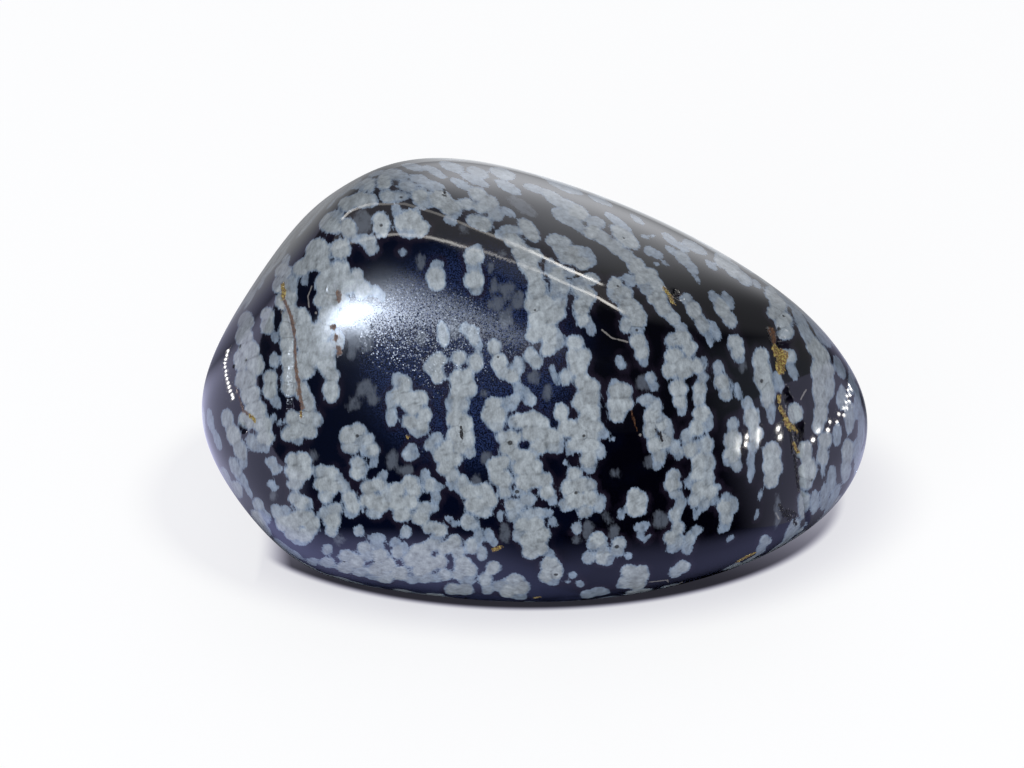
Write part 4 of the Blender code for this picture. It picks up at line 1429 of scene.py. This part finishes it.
def floor_material(studio, heart):
    """A pale light table: it glows round the stone, holds a painted shadow of the stone and shows in its
    polish.
    """
    material, tree, shader = new_material("pale_floor")
    place = object_place(tree)
    path = put(tree, "ShaderNodeLightPath").outputs
    camera = path["Is Camera Ray"]
    polish = path["Is Glossy Ray"]
    left = light_left_by_painted_shadow(tree, place, heart)
    mirrored, blue, white = mirrored_floor(tree, place, studio)

    clear_of_foot = spread(tree, oval_reach(tree, place, FOOTPRINT), *FOOT_GLOW)
    shown = product(tree, left, studio.table_shown)
    glow = between(tree, camera, product(tree, clear_of_foot, studio.table_glow), shown)

    mirrored_tint = blend(tree, blue, studio.mirrored_floor_colour, studio.near_floor_colour)
    mirrored_tint = blend(tree, white, mirrored_tint, WHITE_FLOOR)
    shadow = blend(tree, left, studio.painted_shadow_colour, WHITE)

    plain = blend(tree, left, BLACK, studio.floor_colour)
    plain = blend(tree, camera, studio.floor_colour, plain)
    give(tree, shader, {
        "Base Color": blend(tree, polish, plain, BLACK),
        "Emission Color": blend(tree, polish, shadow, mirrored_tint),
        "Emission Strength": between(tree, polish, glow, mirrored),
        "Roughness": FLOOR_ROUGHNESS, "Specular IOR Level": 0.0})
    material.cycles.emission_sampling = "NONE"
    return material


def floor_object(studio, heart):
    """A wide round pale floor."""
    edge = bmesh.new()
    bmesh.ops.create_circle(edge, cap_ends=True, segments=FLOOR_SIDES, radius=studio.floor_radius)
    mesh = bpy.data.meshes.new("floor")
    edge.to_mesh(mesh)
    edge.free()
    mesh.transform(Matrix.Translation((0.0, 0.0, -FLOOR_GAP)))
    mesh.materials.append(floor_material(studio, heart))
    new_object("floor", mesh)


def mirror_rays(pixels):
    """Where sight through pixels of the picture meets the stone, and the way that it is mirrored."""
    points = seen_in_picture(pixels)
    normals = outward(points)
    sight = points - EYE
    sight /= np.linalg.norm(sight, axis=1)[:, None]
    return points, sight - 2.0 * np.einsum("ij,ij->i", sight, normals)[:, None] * normals


def glowing_object(name, points, faces, glows, radiance, heart):
    """A lamp of flat faces, in mm from the heart, that only the polish of the stone can see."""
    mesh = bpy.data.meshes.new(name)
    mesh.from_pydata((np.array(points) * MM + heart).tolist(), [], faces)
    store(mesh, {"glow": np.array(glows)})
    material = bpy.data.materials.new(name)
    material.use_nodes = True
    tree = material.node_tree
    tree.nodes.remove(tree.nodes["Principled BSDF"])
    strength = product(tree, field(tree, "glow"), radiance)
    glow = put(tree, "ShaderNodeEmission", {"Color": LAMP_COLOUR, "Strength": strength})
    tree.links.new(glow.outputs[0], tree.nodes["Material Output"].inputs["Surface"])
    material.cycles.emission_sampling = "NONE"
    mesh.materials.append(material)
    lamp = new_object(name, mesh)
    for ray in ("camera", "diffuse", "shadow", "transmission", "volume_scatter"):
        setattr(lamp, "visible_" + ray, False)


def picture_ribbon(pixels, half_width):
    """Both edges of a ribbon along a path in the picture, cut into many short pieces."""
    path = np.array(pixels, dtype=float)
    walked = np.concatenate([[0.0], np.cumsum(np.linalg.norm(np.diff(path, axis=0), axis=1))])
    places = np.linspace(0.0, walked[-1], STRIP_CUTS)
    fine = np.stack([np.interp(places, walked, path[:, axis]) for axis in (0, 1)], axis=1)
    run = np.gradient(fine, axis=0)
    run /= np.linalg.norm(run, axis=1)[:, None]
    across = np.stack([-run[:, 1], run[:, 0]], axis=1) * half_width
    return fine - across, fine + across, places / walked[-1], walked / walked[-1]


def strip_lamps(studio, heart):
    """Two thin bent strips with a dim blind between them, hung where the ridge mirrors them."""
    ribbons = []
    inner = []
    for side, (glow, pixels) in enumerate(STRIPS_IN_PICTURE):
        over, under, places, walked = picture_ribbon(pixels, STRIP_HALF_WIDTH)
        ribbons.append((over, under, np.interp(places, walked, glow)))
        inner.append(under if side == 0 else over)
    ribbons.append((*inner, np.full(STRIP_CUTS, BETWEEN_STRIPS)))
    points = []
    quads = []
    glows = []
    for over, under, glow in ribbons:
        first = len(points)
        for edge in (over, under):
            origins, ways = mirror_rays(edge)
            points += list(origins + ways * studio.strip_distance / MM)
            glows += list(glow)
        quads += [(first + cut, first + cut + 1, first + STRIP_CUTS + cut + 1, first + STRIP_CUTS + cut)
                  for cut in range(STRIP_CUTS - 1)]
    glowing_object("strip_lamps", points, quads, glows, studio.strip_light, heart)


def bead_lamps(studio, heart):
    """Two rows of small round lamps over the table, where the ends of the stone mirror them."""
    angles = np.linspace(0.0, math.tau, BEAD_SIDES, endpoint=False)
    ring = np.stack([np.cos(angles), np.sin(angles)], axis=1)
    points = []
    faces = []
    glows = []
    for radius, pixels in BEADS_IN_PICTURE:
        for pixel in pixels:
            origins, ways = mirror_rays(radius * ring + pixel)
            halves = np.linalg.norm(ways - ways.mean(axis=0), axis=1)
            glows += [1.0 + BEAD_BLUR / (math.pi * halves.min() * halves.max())] * BEAD_SIDES
            height = (origins[:, 2] * MM + heart[2]).min()
            clear = BEAD_CLEARANCE * height / max(-ways[:, 2].min(), LEAST_FALL)
            distance = min(clear, studio.strip_distance)
            faces.append(tuple(range(len(points), len(points) + BEAD_SIDES)))
            points += list(origins + ways * distance / MM)
    glowing_object("bead_lamps", points, faces, glows, studio.bead_light, heart)


def studio_lamps(studio, heart):
    """The soft key lamp, the edge strips and the rows of beads."""
    panel_lamp("soft_key", heart, *KEY_LAMP, studio.key_light)
    strip_lamps(studio, heart)
    bead_lamps(studio, heart)


def show_camera(heart):
    """The camera at the picture's angle, with the stone's heart at its place in the picture."""
    data = bpy.data.cameras.new("show_camera")
    data.sensor_width = SENSOR_WIDTH
    data.lens = FOCAL_PX / PICTURE_SIZE[0] * data.sensor_width
    data.clip_start = NEAREST_SEEN
    camera = new_object("show_camera", data)
    camera.location = Vector(heart) + Vector(EYE) * MM
    camera.rotation_euler = (math.pi / 2.0 - SHOW_ELEVATION, 0.0, 0.0)
    bpy.context.scene.camera = camera


def colour_setting(name, description, default):
    """A colour that a user can change."""
    return FloatVectorProperty(name=name, description=description, subtype="COLOR", default=default)


def length_setting(name, description, default):
    """A length, in metres."""
    return FloatProperty(name=name, description=description, unit="LENGTH", default=default)


def share_setting(name, description, default):
    """A share from 0 to 1."""
    return FloatProperty(
        name=name, description=description, subtype="FACTOR", default=default, min=0.0, max=1.0)


def light_setting(name, description, default):
    """A brightness."""
    return FloatProperty(name=name, description=description, default=default)


class StoneSettings(bpy.types.PropertyGroup):
    """Sizes of the stone's mesh and of its snowflakes."""

    cells: IntProperty(name="Cells", description="Cells along each side of the starting cube",
                       default=106, min=16, max=128)
    seed: IntProperty(name="Seed", description="Fixed start of everything random", default=41)
    hidden_gap: length_setting("Snowflake gap", "Gap between snowflakes on the hidden sides", 0.0021)


class FinishSettings(bpy.types.PropertyGroup):
    """Colours and polish."""

    glass_colour: colour_setting("Glass", "Black glass", (0.0006, 0.0006, 0.0022))
    navy_colour: colour_setting("Navy glass", "Glass of the left side", (0.0009, 0.0019, 0.008))
    smoke_colour: colour_setting("Smoke", "Smoky glass round the snowflakes", (0.012, 0.009, 0.018))
    # Painted light: the colour that stands in for light coming through the thin low edge.
    painted_edge_light_colour: colour_setting(
        "Edge glass", "Thin low edge, where light comes through", (0.018, 0.022, 0.052))
    flake_colour: colour_setting("Snowflake", "Thick crystal of the snowflakes", (0.262, 0.294, 0.325))
    rim_colour: colour_setting(
        "Snowflake rim", "Thin crystal, where the glass shows through", (0.140, 0.188, 0.265))
    rim_width: length_setting("Rim width", "How far in from its edge a snowflake is thin", 0.0002)
    lobe_size: length_setting("Lobe size", "Size of the small lobes along a snowflake's edge", 0.0005)
    lobe_depth: length_setting("Lobe depth", "How far those lobes stand out", 0.00013)
    sunken_colour: colour_setting(
        "Sunken snowflake", "Snowflakes under the surface", (0.078, 0.092, 0.120))
    sunken_strength: share_setting("Sunken strength", "How strongly they show", 0.85)
    ochre_colour: colour_setting("Ochre", "Yellow earth in the hollows", (0.36, 0.29, 0.085))
    rust_colour: colour_setting("Rust", "Brown stain", (0.12, 0.055, 0.022))
    dark_rust_colour: colour_setting("Dark rust", "Darkest stain", (0.045, 0.018, 0.01))
    glass_roughness: share_setting("Glass roughness", "Polish of the glass", 0.045)
    flake_roughness: share_setting("Snowflake roughness", "Polish of the snowflakes", 0.08)
    glass_ior: FloatProperty(
        name="Index of refraction", description="How strongly the polish mirrors", default=1.5,
        min=1.0, max=2.0)
    pit_size: length_setting("Pit size", "Size of the tiny pits in the polish", 0.0001)
    pit_depth: length_setting("Pit depth", "Depth of the tiny pits in the polish", 0.0000003)
    glint_size: length_setting(
        "Glint size", "Size of the tiny facets where the front face is scuffed", 0.000068)
    glint_tilt: share_setting("Glint tilt", "How far those facets are tipped", 0.14)
    # Painted sheen: blue that stands in for light scattered round the highlight by the scuffs.
    scuff_sheen_colour: colour_setting("Scuffed glass", "Glass of the scuffed part", (0.016, 0.028, 0.085))


class StudioSettings(bpy.types.PropertyGroup):
    """The pale floor, the room and its lamps."""

    floor_radius: length_setting("Floor radius", "Radius of the floor", 3.0)
    floor_colour: colour_setting("Floor", "Colour of the floor", (0.20, 0.205, 0.22))
    table_glow: light_setting("Table glow", "Light that comes up through the floor", 0.58)
    table_shown: light_setting("Shown table", "Brightness of the floor to look at", 0.83)
    # Tint of the painted shadow on the floor.
    painted_shadow_colour: colour_setting("Shadow", "Tint of the stone's shadow", (0.75, 0.73, 1.0))
    mirrored_floor_colour: colour_setting(
        "Mirrored floor", "Colour of the floor in the polish", (0.69, 0.70, 1.0))
    near_floor_colour: colour_setting(
        "Near floor", "Colour of the floor close to the stone in the polish", (0.50, 0.53, 1.0))
    table_mirrored: light_setting(
        "Mirrored table", "Brightness of the floor close to the stone in the polish", 1.4)
    left_mirrored: light_setting(
        "Mirrored left", "Brightness of the floor to the left in the polish", 1.2)
    right_mirrored: light_setting(
        "Mirrored right", "Brightness of the floor to the right in the polish", 1.0)
    back_mirrored: light_setting("Mirrored back", "Brightness of the floor behind in the polish", 1.5)
    mirror_reach: length_setting(
        "Mirrored reach", "How far from the stone the floor still shows in its polish", 0.023)
    room_light: light_setting("Room light", "Soft light from all round", 1.22)
    left_dimmed: share_setting("Left dimmed", "Part of it that comes from the left", 0.05)
    right_dimmed: share_setting("Right dimmed", "Part of it that comes from the right", 0.2)
    top_dimmed: share_setting("Top dimmed", "Part of it that comes from above", 0.6)
    mirrored_room_colour: colour_setting(
        "Mirrored room", "Colour of the room in the polish", (0.93, 0.95, 1.0))
    window_colour: colour_setting(
        "Window", "Colour of the window and the room's front in the polish", (0.74, 0.84, 1.0))
    ceiling_light: light_setting("Ceiling", "Brightness of the mirrored ceiling", 0.6)
    backdrop_light: light_setting("Backdrop", "Brightness of the mirrored backdrop", 0.34)
    side_light: light_setting("Right side", "Brightness of the mirrored right side", 0.38)
    left_shade: share_setting("Left shade", "Part of the room's light mirrored from the left", 0.12)
    dark_light: light_setting("Dark side", "Brightness mirrored from round the eye", 0.035)
    key_light: light_setting("Key", "Radiance of the soft key lamp", 3.5)
    strip_light: light_setting("Strips", "Radiance of the thin strips", 15.0)
    strip_distance: length_setting("Strip distance", "How far the strips hang", 0.3)
    bead_light: light_setting("Beads", "Radiance of the small round lamps", 18.0)


class ObsidianSettings(bpy.types.PropertyGroup):
    """Everything that a user would change."""

    stone: PointerProperty(type=StoneSettings)
    finish: PointerProperty(type=FinishSettings)
    studio: PointerProperty(type=StudioSettings)


class MESH_OT_tumbled_stone(bpy.types.Operator):
    """Makes the stone with its snowflakes, stains, crack and pits"""

    bl_idname = "mesh.tumbled_stone"
    bl_label = "Tumbled stone"

    def execute(self, context):
        settings = context.scene.obsidian
        effects = {"crystal_noise": crystal_noise_group(), "frayed_edge": frayed_edge_group(),
                   "crystal_grain": crystal_grain_group(), "micro_relief": micro_relief_group()}
        stone = stone_object(settings.stone)
        stone.data.materials.append(stone_material(settings.finish, effects))
        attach(stone, "root")
        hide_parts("stone")
        return {"FINISHED"}


class MESH_OT_vein_grains(bpy.types.Operator):
    """Makes the ochre grains and the dark glassy chips that fill the crack and the hollows"""

    bl_idname = "mesh.vein_grains"
    bl_label = "Vein grains"

    def execute(self, context):
        settings = context.scene.obsidian
        finish = settings.finish
        effects = bpy.data.node_groups
        stone = bpy.data.objects["tumbled_stone"]
        ochre = grain_material("ochre_grains", finish.ochre_colour, finish.rust_colour, 0.6, effects)
        chips = grain_material("glassy_chips", CHIP_COLOUR, finish.glass_colour, 0.2, effects)
        for (name, kind, size, density), material in zip(GRAIN_BEDS, (ochre, chips)):
            grains = scatter_grains(stone, name, kind, material, size, density, settings.stone.seed)
            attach(grains, "root")
        return {"FINISHED"}


class SCENE_OT_pale_studio(bpy.types.Operator):
    """Makes the pale floor, the soft lamps, the room and the camera"""

    bl_idname = "scene.pale_studio"
    bl_label = "Pale studio"

    def execute(self, context):
        studio = context.scene.obsidian.studio
        heart = bpy.data.objects["tumbled_stone"]["heart"]
        studio_world(studio)
        floor_object(studio, heart)
        studio_lamps(studio, heart)
        show_camera(heart)
        context.scene.view_settings.view_transform = "Standard"
        return {"FINISHED"}


class VIEW3D_PT_obsidian(bpy.types.Panel):
    """The stone's settings and the buttons that make it"""

    bl_label = "Snowflake obsidian"
    bl_space_type = "VIEW_3D"
    bl_region_type = "UI"
    bl_category = "Stone"

    def draw(self, context):
        settings = context.scene.obsidian
        for group, operator in (
                (settings.stone, "mesh.tumbled_stone"), (settings.finish, "mesh.vein_grains"),
                (settings.studio, "scene.pale_studio")):
            box = self.layout.box()
            for name in group.bl_rna.properties.keys():
                if name not in ("rna_type", "name"):
                    box.prop(group, name)
            box.operator(operator)


CLASSES = (StoneSettings, FinishSettings, StudioSettings, ObsidianSettings, MESH_OT_tumbled_stone,
           MESH_OT_vein_grains, SCENE_OT_pale_studio, VIEW3D_PT_obsidian)


def register():
    """Adds the settings, the operators and the panel to Blender."""
    for each in CLASSES:
        bpy.utils.register_class(each)
    bpy.types.Scene.obsidian = PointerProperty(type=ObsidianSettings)


def unregister():
    """Takes them out again."""
    del bpy.types.Scene.obsidian
    for each in reversed(CLASSES):
        bpy.utils.unregister_class(each)


def main():
    """Makes the stone, its grains and the studio."""
    register()
    bpy.ops.mesh.tumbled_stone()
    bpy.ops.mesh.vein_grains()
    bpy.ops.scene.pale_studio()


if __name__ == "__main__":
    main()
